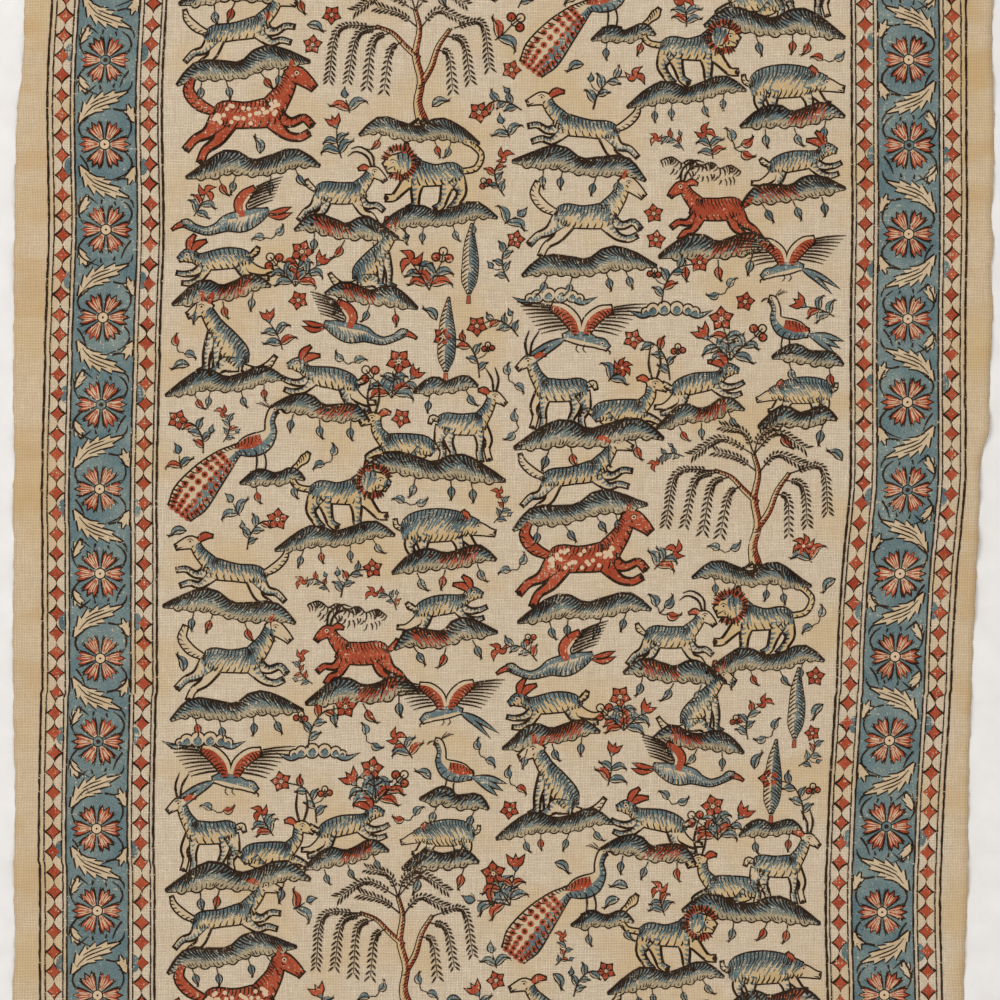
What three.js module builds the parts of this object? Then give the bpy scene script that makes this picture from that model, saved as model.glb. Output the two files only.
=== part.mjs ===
// A printed cotton panel lying flat on a surface with its printed face up.
// It is one length of coarse plain weave: both long sides are raw selvedges that
// sway in and out, and the two ends are plain cuts. The middle and the corners lie
// flat on the surface, and the plain margins lift off it in a row of shallow ripples.
// Millimetres. +X runs across the cloth, +Y along it and +Z up off the surface.
// The origin is on the surface, under the middle of the cloth.

import * as THREE from 'three';

const WIDTH = 589;
const LENGTH = 976;
const THICKNESS = 1;

// How far the middle of each cut end bows out past its corners
const END_BOW = 3;

// How far a ripple reaches into the cloth from its selvedge
const RIPPLE_REACH = 58;

// Steps of the surface, with the steps across packed closer towards the selvedges
const STEPS_ACROSS = 14;
const STEPS_ALONG = 96;

// How far each selvedge lies inside the widest line of the cloth, from one end to the other
const SELVEDGE_SWAY = [
  { along: -490, left: 4.0, right: 11.0 },
  { along: -400, left: 2.5, right: 14.0 },
  { along: -340, left: 1.0, right: 16.8 },
  { along: -286, left: 0.0, right: 18.0 },
  { along: -256, left: 1.8, right: 17.4 },
  { along: -226, left: 1.2, right: 15.8 },
  { along: -166, left: 1.8, right: 15.3 },
  { along: -106, left: 0.8, right: 13.8 },
  { along: -76, left: 0.6, right: 12.6 },
  { along: -46, left: 0.6, right: 11.4 },
  { along: -22, left: 1.2, right: 10.2 },
  { along: 14, left: 0.6, right: 8.6 },
  { along: 39, left: 1.7, right: 7.6 },
  { along: 54, left: 1.4, right: 3.6 },
  { along: 74, left: 0.6, right: 2.8 },
  { along: 104, left: 1.2, right: 1.9 },
  { along: 134, left: 1.2, right: 0.6 },
  { along: 154, left: 1.3, right: 1.9 },
  { along: 166, left: 1.4, right: 0.1 },
  { along: 178, left: 1.6, right: 1.3 },
  { along: 210, left: 1.9, right: 0.2 },
  { along: 246, left: 3.2, right: 0.0 },
  { along: 284, left: 7.2, right: 1.2 },
  { along: 314, left: 7.2, right: 0.6 },
  { along: 370, left: 6.6, right: 1.4 },
  { along: 430, left: 5.4, right: 2.2 },
  { along: 490, left: 4.6, right: 3.2 },
];

// The ripples of the two margins: where each one's crest lies along the cloth,
// how high it lifts the selvedge, and how far it runs each way from its crest.
// The four corners lie flat.
const LEFT_RIPPLES = [
  { along: -398, rise: 1.2, run: 27 },
  { along: -330, rise: 1.6, run: 30 },
  { along: -261, rise: 1.3, run: 26 },
  { along: -205, rise: 1.7, run: 28 },
  { along: -130, rise: 0.9, run: 30 },
  { along: -77, rise: 1.2, run: 24 },
  { along: -30, rise: 1.0, run: 22 },
  { along: 10, rise: 1.4, run: 20 },
  { along: 49, rise: 1.7, run: 22 },
  { along: 107, rise: 1.1, run: 26 },
  { along: 153, rise: 2.3, run: 24 },
  { along: 200, rise: 1.9, run: 23 },
  { along: 244, rise: 1.3, run: 21 },
  { along: 284, rise: 2.0, run: 22 },
  { along: 345, rise: 1.2, run: 30 },
  { along: 412, rise: 1.5, run: 28 },
];
const RIGHT_RIPPLES = [
  { along: -405, rise: 1.3, run: 28 },
  { along: -318, rise: 1.2, run: 32 },
  { along: -256, rise: 1.0, run: 24 },
  { along: -209, rise: 1.5, run: 22 },
  { along: -166, rise: 1.1, run: 22 },
  { along: -112, rise: 1.3, run: 26 },
  { along: -46, rise: 2.1, run: 22 },
  { along: -12, rise: 2.4, run: 18 },
  { along: 24, rise: 1.9, run: 18 },
  { along: 58, rise: 2.6, run: 18 },
  { along: 110, rise: 1.2, run: 25 },
  { along: 160, rise: 1.0, run: 23 },
  { along: 206, rise: 1.2, run: 22 },
  { along: 262, rise: 1.4, run: 27 },
  { along: 325, rise: 1.1, run: 30 },
  { along: 392, rise: 1.6, run: 28 },
];

const swayCurve = new THREE.CubicInterpolant(
  SELVEDGE_SWAY.map((row) => row.along),
  SELVEDGE_SWAY.flatMap((row) => [row.left, row.right]),
  2,
);

// The places of the two selvedges at a distance along the cloth
function selvedgesAt(along) {
  const [leftInset, rightInset] = swayCurve.evaluate(along);
  return { left: leftInset - WIDTH / 2, right: WIDTH / 2 - rightInset };
}

// The lift that one margin's ripples give at a distance in from its selvedge:
// a row of cosine humps that die away as the square of the way left to the reach
function rippleLift(ripples, along, inset) {
  const reachLeft = Math.max(0, 1 - inset / RIPPLE_REACH);
  let lift = 0;
  for (const ripple of ripples) {
    const way = Math.min(1, Math.abs(along - ripple.along) / ripple.run);
    lift += ripple.rise * Math.cos((way * Math.PI) / 2) ** 2;
  }
  return lift * reachLeft ** 2;
}

// Carries a flat slab onto the cloth's form. Its x runs from -1 to 1 between the selvedges.
function layCloth(slab) {
  const places = slab.attributes.position;
  for (let index = 0; index < places.count; index += 1) {
    const across = Math.sin((places.getX(index) * Math.PI) / 2);
    const along = places.getY(index);
    const { left, right } = selvedgesAt(along);
    const x = THREE.MathUtils.mapLinear(across, -1, 1, left, right);
    const y = along + END_BOW * (1 - across ** 2) * ((2 * along) / LENGTH) ** 9;
    const lift = rippleLift(LEFT_RIPPLES, along, x - left) + rippleLift(RIGHT_RIPPLES, along, right - x);
    places.setXYZ(index, x, y, places.getZ(index) + THICKNESS / 2 + lift);
  }
  slab.computeBoundingBox();
  const middle = slab.boundingBox.getCenter(new THREE.Vector3());
  slab.translate(-middle.x, -middle.y, 0);
  slab.computeVertexNormals();
  return slab;
}

const printedCotton = new THREE.MeshStandardMaterial({
  name: 'printed cotton',
  color: new THREE.Color().setRGB(0.74, 0.65, 0.5, THREE.SRGBColorSpace),
  roughness: 0.93,
  metalness: 0,
});

const slab = new THREE.BoxGeometry(2, LENGTH - 2 * END_BOW, THICKNESS, STEPS_ACROSS, STEPS_ALONG, 1);
const cloth = new THREE.Mesh(layCloth(slab), printedCotton);
cloth.name = 'cloth';

const panel = new THREE.Group();
panel.add(cloth);

export default panel;
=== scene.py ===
import bpy
import numpy as np
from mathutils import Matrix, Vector


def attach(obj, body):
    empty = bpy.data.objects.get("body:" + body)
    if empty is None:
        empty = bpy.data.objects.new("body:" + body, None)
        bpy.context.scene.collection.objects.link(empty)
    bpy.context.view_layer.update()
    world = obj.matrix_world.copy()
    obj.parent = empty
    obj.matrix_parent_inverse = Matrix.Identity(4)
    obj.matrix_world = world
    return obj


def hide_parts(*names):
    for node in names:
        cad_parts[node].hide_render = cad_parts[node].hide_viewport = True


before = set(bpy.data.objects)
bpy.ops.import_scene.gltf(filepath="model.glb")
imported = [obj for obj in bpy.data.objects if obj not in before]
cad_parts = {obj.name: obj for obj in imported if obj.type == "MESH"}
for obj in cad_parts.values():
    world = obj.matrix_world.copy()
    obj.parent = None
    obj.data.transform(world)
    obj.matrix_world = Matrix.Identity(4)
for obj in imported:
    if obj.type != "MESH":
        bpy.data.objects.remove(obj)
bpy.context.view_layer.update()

# The cloth: one length of coarse cotton in plain weave, at its loom width, with both selvedges left
# raw and both ends cut plainly. It was laid down face up: its middle and corners lie flat, and its
# unprinted margins lift in shallow ripples. Lengths here are millimetres until they reach a mesh.
MM = 0.001
WIDTH, LENGTH = 589.0, 976.0
CLOTH_THICKNESS = 0.45
END_BOW = 3.0
BOW_FALL = 9
RIPPLE_REACH = 58.0
CLOTH_STEPS = (140, 300)

# How far the selvedges lie inside the widest line: along the cloth, left, right
SELVEDGE_SWAY = np.array([
    (-490, 4.0, 11.0), (-400, 2.5, 14.0), (-340, 1.0, 16.8), (-286, 0.0, 18.0), (-256, 1.8, 17.4),
    (-226, 1.2, 15.8), (-166, 1.8, 15.3), (-106, 0.8, 13.8), (-76, 0.6, 12.6), (-46, 0.6, 11.4),
    (-22, 1.2, 10.2), (14, 0.6, 8.6), (39, 1.7, 7.6), (54, 1.4, 3.6), (74, 0.6, 2.8), (104, 1.2, 1.9),
    (134, 1.2, 0.6), (154, 1.3, 1.9), (166, 1.4, 0.1), (178, 1.6, 1.3), (210, 1.9, 0.2),
    (246, 3.2, 0.0), (284, 7.2, 1.2), (314, 7.2, 0.6), (370, 6.6, 1.4), (430, 5.4, 2.2),
    (490, 4.6, 3.2),
])

# The margins' ripples: where the crest lies along the cloth, its rise at the selvedge, its run each way
LEFT_RIPPLES = np.array([
    (-398, 1.2, 27), (-330, 1.6, 30), (-261, 1.3, 26), (-205, 1.7, 28), (-130, 0.9, 30), (-77, 1.2, 24),
    (-30, 1.0, 22), (10, 1.4, 20), (49, 1.7, 22), (107, 1.1, 26), (153, 2.3, 24), (200, 1.9, 23),
    (244, 1.3, 21), (284, 2.0, 22), (345, 1.2, 30), (412, 1.5, 28),
])
RIGHT_RIPPLES = np.array([
    (-405, 1.3, 28), (-318, 1.2, 32), (-256, 1.0, 24), (-209, 1.5, 22), (-166, 1.1, 22), (-112, 1.3, 26),
    (-46, 2.1, 22), (-12, 2.4, 18), (24, 1.9, 18), (58, 2.6, 18), (110, 1.2, 25), (160, 1.0, 23),
    (206, 1.2, 22), (262, 1.4, 27), (325, 1.1, 30), (392, 1.6, 28),
])

# The raw edge's own unevenness: wavelength, size and phase of each wave along a selvedge. It falls
# away inwards by a high power of the way out from the middle, so that only the edge itself wavers.
EDGE_FALL = 60
EDGE_WAVES = np.array([(7.3, 0.12, 0.4), (11.9, 0.14, 2.1), (4.9, 0.07, 4.0), (23.0, 0.22, 1.3)])


def table_curve(table, along):
    """The columns of a table at distances along the cloth. Between two rows runs a cubic that leaves
    each row with the mean slope of the rows beside it."""
    places, values = table[:, 0], table[:, 1:]
    slopes = np.gradient(values, places, axis=0)
    row = np.clip(np.searchsorted(places, along) - 1, 0, len(places) - 2)
    gap = (places[row + 1] - places[row])[..., None]
    way = (along - places[row])[..., None] / gap
    ease = way * way * (3 - 2 * way)
    lean = gap * way * (1 - way) * ((1 - way) * slopes[row] - way * slopes[row + 1])
    return np.moveaxis(values[row] * (1 - ease) + values[row + 1] * ease + lean, -1, 0)


def selvedges(along):
    """The sideways places of the left and right selvedges at distances along the cloth."""
    left, right = table_curve(SELVEDGE_SWAY, along)
    return left - WIDTH / 2, WIDTH / 2 - right


def lift(ripples, along, inset):
    """The height that a margin's ripples give: cosine humps along the cloth, dying away as the
    square of the way left to their reach."""
    crest, rise, run = ripples.T
    way = np.minimum(np.abs(along[..., None] - crest) / run, 1)
    humps = (rise * np.cos(way * np.pi / 2) ** 2).sum(-1)
    return humps * np.clip(1 - inset / RIPPLE_REACH, 0, 1) ** 2


def on_cloth(x, y, height):
    """Points in metres at a height over the cloth's underside: flat places lifted by both margins."""
    left, right = selvedges(y)
    raised = lift(LEFT_RIPPLES, y, x - left) + lift(RIGHT_RIPPLES, y, right - x)
    return np.stack([x, y, height + raised], -1) * MM


def mesh_piece(name, points, faces, chart, material):
    """A piece from arrays: points in metres, four-cornered faces, and each corner's place on the
    chart, the flat map that the finish is baked on."""
    mesh = bpy.data.meshes.new(name)
    mesh.from_pydata(points.tolist(), [], faces.tolist())
    mesh.uv_layers.new(name="OFBake").data.foreach_set("uv", chart.ravel())
    mesh.materials.append(material)
    mesh.polygons.foreach_set("use_smooth", np.ones(len(faces), bool))
    mesh.update()
    piece = bpy.data.objects.new(name, mesh)
    bpy.context.scene.collection.objects.link(piece)
    return piece


def grid_faces(index):
    """The four-cornered faces between the rows and columns of grids of point numbers."""
    corners = [index[..., :-1, :-1], index[..., :-1, 1:], index[..., 1:, 1:], index[..., 1:, :-1]]
    return np.stack(corners, -1).reshape(-1, 4)


def cloth_points():
    """The underside and the face of the cloth. Across runs from -1 to 1 between the selvedges, whose
    raw edges waver by a few short waves, and the ends bow out in the middle."""
    across, along = np.meshgrid(
        np.linspace(-1, 1, CLOTH_STEPS[0] + 1),
        np.linspace(-0.5, 0.5, CLOTH_STEPS[1] + 1) * (LENGTH - 2 * END_BOW),
    )
    wavelength, size, phase = EDGE_WAVES.T
    waver = (size * np.sin(along[..., None] * 2 * np.pi / wavelength + phase)).sum(-1)
    left, right = selvedges(along)
    x = left + (right - left) * (across + 1) / 2 - waver * np.abs(across) ** EDGE_FALL
    y = along + END_BOW * (1 - across ** 2) * (2 * along / LENGTH) ** BOW_FALL
    return np.stack([on_cloth(x, y, 0.0), on_cloth(x, y, CLOTH_THICKNESS)])


class Wire:
    """One output of a shader node. Sums, differences and products of wires and numbers add the Math
    nodes that work them out."""

    def __init__(self, finish, socket):
        self.finish = finish
        self.socket = socket

    def __add__(self, other):
        return self.finish.maths("ADD", self, other)

    def __sub__(self, other):
        return self.finish.maths("SUBTRACT", self, other)

    def __rsub__(self, other):
        return self.finish.maths("SUBTRACT", other, self)

    def __mul__(self, other):
        return self.finish.maths("MULTIPLY", self, other)

    __radd__ = __add__
    __rmul__ = __mul__


class Finish:
    """A cloth finish being mixed: a material, its node tree and the shader at its end."""

    def __init__(self, name, roughness):
        self.material = bpy.data.materials.new(name)
        self.material.use_nodes = True
        self.tree = self.material.node_tree
        self.shader = self.tree.nodes["Principled BSDF"]
        self.shader.inputs["Roughness"].default_value = roughness
        self.shader.inputs["Specular IOR Level"].default_value = 0.08
        self.shader.inputs["Sheen Weight"].default_value = 0.03
        self.shader.inputs["Sheen Roughness"].default_value = 0.6

    def node(self, kind, settings, sockets, output=0):
        """Adds a node: its type, its settings, then the wires or values of its sockets."""
        node = self.tree.nodes.new("ShaderNode" + kind)
        for setting, value in settings.items():
            setattr(node, setting, value)
        for socket, value in sockets.items():
            if isinstance(value, Wire):
                self.tree.links.new(value.socket, node.inputs[socket])
            else:
                node.inputs[socket].default_value = value
        return Wire(self, node.outputs[output])

    def maths(self, operation, *values):
        """A Math node's operation on wires and numbers."""
        return self.node("Math", {"operation": operation}, dict(enumerate(values)))

    def blend(self, first, second, factor):
        """A colour between two others: the Mix node's colour sockets are numbers 6 and 7."""
        return self.node("Mix", {"data_type": "RGBA"}, {0: factor, 6: first, 7: second}, 2)

    def noise(self, place, scales, detail=1.0, roughness=0.5):
        """Soft noise from 0 to 1, whose lumps have the given sizes in metres along x and y."""
        inverse = (1 / scales[0], 1 / scales[1], 0)
        stretched = self.node("VectorMath", {"operation": "MULTIPLY"}, {0: place, 1: inverse})
        sockets = {"Vector": stretched, "Scale": 1.0, "Detail": detail, "Roughness": roughness}
        return self.node("TexNoise", {"noise_dimensions": "2D"}, sockets)

    def step(self, value, low, high):
        """0 below low and 1 above high, with a smooth way between."""
        sockets = {"Value": value, "From Min": low, "From Max": high}
        return self.node("MapRange", {"interpolation_type": "SMOOTHSTEP"}, sockets)

    def wear(self, colour, height):
        """Sends a colour and the height of the threads to the shader."""
        bump = self.node("Bump", {}, {"Strength": BUMP_STRENGTH, "Distance": THREAD_RISE, "Height": height})
        self.tree.links.new(colour.socket, self.shader.inputs["Base Color"])
        self.tree.links.new(bump.socket, self.shader.inputs["Normal"])
        return self.material


def dye(red, green, blue):
    """A colour from its red, green and blue on a screen, 0 to 255, as the linear light they stand for."""
    screen = np.array([red, green, blue]) / 255
    return (*np.where(screen <= 0.04045, screen / 12.92, ((screen + 0.055) / 1.055) ** 2.4), 1.0)


THREAD_PITCH = 0.00095
THREAD_RISE = 0.00014
BUMP_STRENGTH = 0.55
SLUB_LENGTH = 0.016
THREAD_WANDER = 0.0022
WANDER_SCALE = 22.0
COTTON_SHADE = dye(193, 175, 147)
COTTON_BRIGHT = dye(253, 238, 214)
COTTON_AGED = dye(219, 186, 130)
COTTON_STAIN = dye(206, 162, 94)
COTTON_TINT = dye(206, 182, 158)
# Painted shade: the dark colour that fills the gaps between the threads
COTTON_GAP_SHADE = dye(132, 108, 78)
AGE_PATCH, STAIN_PATCH, TINT_PATCH = (0.06, 0.045), (0.05, 0.024), (0.006, 0.006)
PRINT_EDGE = (0.262, 0.278)


def plain_weave(finish):
    """The threads' places, the bare cloth's colour and the threads' height. Warp and weft threads each
    have their own shade along their length. The cloth has yellowed in soft patches, most in its margins.
    Its colour is darkened by painted shade in the gaps between the threads."""
    object_place = finish.node("TexCoord", {}, {}, "Object")
    sockets = {"Vector": object_place, "Scale": WANDER_SCALE}
    wander = finish.node("TexNoise", {"noise_dimensions": "2D"}, sockets, 1)
    shift = finish.node("VectorMath", {"operation": "SCALE"}, {0: wander, 3: THREAD_WANDER})
    place = finish.node("VectorMath", {"operation": "ADD"}, {0: object_place, 1: shift})
    warp = finish.noise(place, (THREAD_PITCH, SLUB_LENGTH), 2, 0.7)
    weft = finish.noise(place, (SLUB_LENGTH, THREAD_PITCH), 2, 0.7)
    grain = finish.noise(place, (THREAD_PITCH, THREAD_PITCH), 1, 0.6)
    tone = (warp + weft) * 0.75 + grain * 0.9 - 0.7
    colour = finish.blend(COTTON_SHADE, COTTON_BRIGHT, tone)
    age = finish.step(finish.noise(object_place, AGE_PATCH, 3), 0.42, 0.74)
    colour = finish.blend(colour, COTTON_AGED, age * 0.55)

    x = finish.node("SeparateXYZ", {}, {0: object_place}, 0)
    margin = finish.step(finish.maths("ABSOLUTE", x), *PRINT_EDGE)
    stain = finish.step(finish.noise(object_place, STAIN_PATCH, 2), 0.45, 0.72)
    colour = finish.blend(colour, COTTON_AGED, margin * 0.35)
    colour = finish.blend(colour, COTTON_STAIN, margin * stain * 0.42)

    tint = finish.step(finish.noise(object_place, TINT_PATCH, 2, 0.6), 0.35, 0.65)
    colour = finish.blend(colour, COTTON_TINT, tint * 0.22)

    turn = np.pi / THREAD_PITCH
    place_x = finish.node("SeparateXYZ", {}, {0: place}, 0)
    place_y = finish.node("SeparateXYZ", {}, {0: place}, 1)
    wave_x = finish.maths("SINE", place_x * turn)
    wave_y = finish.maths("SINE", place_y * turn)
    over = wave_x * wave_y
    warp_ridge = finish.maths("ABSOLUTE", wave_x) * (0.7 + over * 0.3)
    weft_ridge = finish.maths("ABSOLUTE", wave_y) * (0.7 - over * 0.3)
    ridge = finish.maths("MAXIMUM", warp_ridge, weft_ridge)
    height = ridge + grain * 0.8 + (warp + weft) * 0.6
    # Painted shade: the colour darkens in the low gaps between the threads, away from their ridges
    return place, finish.blend(colour, COTTON_GAP_SHADE, (1 - ridge) * 0.92), height


def bare_cotton():
    """The finish of the unprinted cloth."""
    finish = Finish("bare_cotton", 0.94)
    colour, height = plain_weave(finish)[1:]
    return finish.wear(colour, height)


def flat_chart(points, corners):
    """Each face corner's place on the chart: the cloth seen from above, its long side filling it."""
    return points[corners, :2] / (LENGTH * MM) + 0.5


cloth_grid = cloth_points()
rows, columns = cloth_grid.shape[1:3]
under, face = np.arange(cloth_grid[..., 0].size).reshape(2, rows, columns)
around = [
    np.stack([under[0], face[0]]), np.stack([face[-1], under[-1]]),
    np.stack([face[:, 0], under[:, 0]]), np.stack([under[:, -1], face[:, -1]]),
]
cloth_faces = np.concatenate([grid_faces(face), grid_faces(under[::-1]), *map(grid_faces, around)])
cloth_corners = cloth_faces.ravel()
cloth_places = cloth_grid.reshape(-1, 3)
cloth_chart = flat_chart(cloth_places, cloth_corners)

# The chart's left half holds the cloth's face, and its right half the underside
CHART_SHARE = 0.8
half = (cloth_chart - 0.5) * CHART_SHARE + (0.25, 0.5)
cloth_chart = np.where((cloth_corners < under.size)[:, None], half + (0.5, 0), half)
cotton = bare_cotton()
cloth = mesh_piece("printed_cloth", cloth_places, cloth_faces, cloth_chart, cotton)
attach(cloth, "root")
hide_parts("cloth")


# The inks: thick dyes pressed into the cloth from carved wood blocks, a set of blocks for each colour.
# Dark brown prints the outlines, and blue, red, tan and earth grey fill them. Each shape is a thin film,
# drawn flat in millimetres from the middle of the print. A later ink's film lies over an earlier one's.
INK_LAYERS = {
    "blue_band": 0.08, "dark_outlines": 0.13, "bare_shapes": 0.18, "earth_fill": 0.20, "tan_fill": 0.23,
    "blue_fill": 0.27, "red_fill": 0.31, "dark_lines": 0.35, "bare_lines": 0.40, "dark_dots": 0.45,
}
FILM_STEP = 0.0019
FILM_STEPS = 19
FILM_RUN = 6
FILM_SHARES = np.array([0.0, 0.2, 0.4, 0.6])
PRINT_HALF = (274.5, 468.0)
FIELD_HALF = (205.5, 399.0)

# Where the print's outer lines lie on the cloth, left and right, at distances along it
PRINT_SWAY = np.array([
    (-490, -275.0, 268.0), (-400, -276.0, 266.0), (-286, -277.8, 264.0), (-226, -277.8, 262.8),
    (-166, -277.8, 264.6), (-106, -276.6, 268.2), (-70, -276.6, 269.4), (-22, -276.6, 272.4),
    (26, -276.4, 277.0), (56, -275.8, 277.2), (134, -273.3, 277.2), (164, -272.1, 277.8),
    (269, -272.4, 277.8), (314, -270.0, 277.8), (490, -270.0, 276.0),
])

PRINT_SEED = 41
random = np.random.default_rng(PRINT_SEED)
printed = {name: [] for name in INK_LAYERS}


def smooth(points, count):
    """A line of count places through a few points, along the cubics of table_curve."""
    table = np.column_stack([np.arange(len(points)), np.asarray(points, float)])
    return table_curve(table, np.linspace(0, len(points) - 1, count)).T


def ways_of(path):
    """The unit ways along a path at each of its places, and the unit ways to its left."""
    along = np.gradient(path, axis=-2)
    along = along / np.linalg.norm(along, axis=-1, keepdims=True)
    return along, np.stack([-along[..., 1], along[..., 0]], -1)


def ribbon(path, width):
    """A strip along a path: each place and the two places half the width to its sides, square to the
    way in which the path runs."""
    side = ways_of(path)[1] * (np.asarray(width) / 2)[..., None]
    return np.stack([path - side, path + side], -2)


def stroke(points, width, count=8, ends=(0.35, 0.35)):
    """A cut line: a smooth ribbon whose width falls to the stated shares at its two ends, by the cube
    of the way to each, and wavers as a hand-cut line does."""
    way = np.linspace(0, 1, count)
    fall = 1 - (1 - ends[0]) * (1 - way) ** 3 - (1 - ends[1]) * way ** 3
    return ribbon(smooth(points, count), width * fall * random.uniform(0.82, 1.18, count))


BLADE_TIP = 0.12


def blade(points, width, count=9, fullest=0.5, grow=0.0):
    """A leaf-like shape: a ribbon whose width is a half wave of the way along it, raised to a power
    that puts the fullest part where it is asked for. Growing it adds a rim on both sides, which
    thins to the tips, and draws the tips out."""
    way = np.linspace(0, 1, count)
    path = smooth(points, count)
    beyond = path[[0, -1]] - path[[1, -2]]
    path[[0, -1]] += beyond / np.linalg.norm(beyond, axis=-1, keepdims=True) * grow * [[0.8], [1.9]]
    swell = np.clip(np.sin(np.pi * way ** (np.log(0.5) / np.log(fullest))), 0, 1)
    return ribbon(path, width * swell + 2 * grow * swell ** 0.45 + BLADE_TIP)


def disc(centre, radius, count=9):
    """A round spot: a ribbon across it, as wide at each place as the circle is there."""
    angle = np.linspace(0, np.pi, count)
    path = np.stack([-np.cos(angle), 0 * angle], -1) * radius + centre
    return ribbon(path, 2 * radius * np.sin(angle))


def set_block(block, place=(0, 0), turn=0.0, size=1.0, flip=1):
    """A block's shapes where they are to be printed: they are mirrored where flip is -1, sized, turned
    by degrees and moved."""
    cos, sin = np.cos(np.radians(turn)), np.sin(np.radians(turn))
    matrix = np.array([(flip * cos, flip * sin), (-sin, cos)]) * size
    return [(ink, shape @ matrix + place) for ink, shape in block]


def stamp(block, *setting):
    """Prints a block, set by the place, turn, size and flip of set_block."""
    for ink, shape in set_block(block, *setting):
        printed[ink].append(shape)


def on_print(places):
    """Points in metres of flat places on the print. The print follows the sway of its outer lines
    between its borders, as the cloth was pulled when it was printed and washed."""
    u, v = places[:, 0], places[:, 1]
    left, right = table_curve(PRINT_SWAY, v)
    border = PRINT_HALF[0] - FIELD_HALF[0]
    inner = np.clip(u, -FIELD_HALF[0], FIELD_HALF[0])
    way = inner / (2 * FIELD_HALF[0]) + 0.5
    return (left + border) * (1 - way) + (right - border) * way + u - inner, v


def ink_film(name, material):
    """All shapes of an ink as one film on the cloth's face. Neighbours, and the runs of points within
    a shape, lie a hair's breadth apart in height, so that no two lie in one plane where they cross.
    Faces that a mirrored block left upside down are turned over."""
    places, faces, film = [], [], []
    start = 0
    for number, shape in enumerate(printed[name]):
        index = start + np.arange(shape[..., 0].size).reshape(shape.shape[:-1])
        start += index.size
        places.append(shape.reshape(-1, 2))
        faces.append(grid_faces(index))
        shares = FILM_SHARES[np.arange(index.size) // FILM_RUN % len(FILM_SHARES)]
        film.append((number % FILM_STEPS + shares) * FILM_STEP)
    x, y = on_print(np.concatenate(places))
    faces = np.concatenate(faces)
    height = CLOTH_THICKNESS + INK_LAYERS[name] + np.concatenate(film)
    diagonal_x = x[faces[:, 2:]] - x[faces[:, :2]]
    diagonal_y = y[faces[:, 2:]] - y[faces[:, :2]]
    upside_down = diagonal_x[:, 0] * diagonal_y[:, 1] < diagonal_x[:, 1] * diagonal_y[:, 0]
    faces[upside_down] = faces[upside_down, ::-1]
    points = on_cloth(x, y, height)
    film_piece = mesh_piece(name, points, faces, flat_chart(points, faces.ravel()), material)
    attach(film_piece, "root")
    return film_piece


# The border: a band of blue with a row of six-petalled flowers and slanting leaves, between two rows
# of red diamonds. Dark lines part them. Each side was printed with blocks about 100 mm long, whose
# joins show as small steps and breaks in the lines.
BLOCK_LENGTH = 102.0
BLOCK_STEP = 0.35
BLOCKS_ALONG = 12
LINE_SEGMENT = 3.0

# The border's lines: how far in from its outer edge, width, length of a dash and the gap after it
BORDER_LINES = [
    (0.0, 1.35, BLOCK_LENGTH, 0.5), (3.1, 0.8, 8.4, 0.35), (13.7, 0.8, 10.2, 0.4),
    (16.1, 1.05, BLOCK_LENGTH, 0.6), (53.0, 1.05, BLOCK_LENGTH, 0.5), (55.5, 0.75, 9.3, 0.4),
    (66.2, 0.8, 11.1, 0.35), (68.6, 1.45, BLOCK_LENGTH, 0.5),
]
BAND_EDGES = (16.1, 53.0)
BAND_MIDDLE = 34.4
DIAMOND_ROWS = (8.4, 60.8)
DIAMOND_PITCH = 12.0
DIAMOND_SIZE = (4.1, 4.7)
DIAMOND_RIM = 1.15
DIAMOND_HOLLOW = 1.75
BLUE_GAP_PITCH = 68.3
BLUE_GAP_STARTS = (9.3, 16.0, 0.0, 0.0)
CORNER_ROOM = 8
FLOWERS_ALONG_SIDE = 18
FLOWER_GAPS_ACROSS_END = 9

# One flower in four has a blue eye: which of the first four, on each side
EYE_TURN = 4
BLUE_EYES = (2, 1, 2, 2)

# How far the flowers have slipped along the band, most in the middle of a side
DRIFT = -4.2

block_steps = random.normal(0, BLOCK_STEP, (4, BLOCKS_ALONG))


def border_place(side, inset, along):
    """Flat places at an inset from the border's outer edge and a distance along one of its four
    sides, in the order left, right, near end, far end. Each block lies a small step out of line."""
    block = (along // BLOCK_LENGTH).astype(int) + BLOCKS_ALONG // 2
    inset = inset + block_steps[side, np.clip(block, 0, BLOCKS_ALONG - 1)]
    outward = (-1, 1)[side % 2]
    across = outward * (PRINT_HALF[side // 2] - inset)
    return np.stack([across, along] if side < 2 else [along, across], -1)


def border_line(side, inset, width, dash, gap):
    """One line along one side of the border: a row of dashes that stops where it meets the next
    side's line, each a ribbon whose place and width waver a little."""
    reach = PRINT_HALF[1 - side // 2] - inset
    starts = np.arange(-reach, reach - gap, dash + gap) + random.uniform(-0.2, 0.2)
    steps = max(3, int(dash / LINE_SEGMENT) + 2)
    along = starts[:, None] + np.linspace(0, dash, steps)
    along = np.clip(along, -reach, reach + 1e-3 * np.arange(steps))
    waver = random.normal(0, 0.09, along.shape)
    widths = width * random.uniform(0.72, 1.2, along.shape)
    return ribbon(border_place(side, inset + waver, along), widths)


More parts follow.
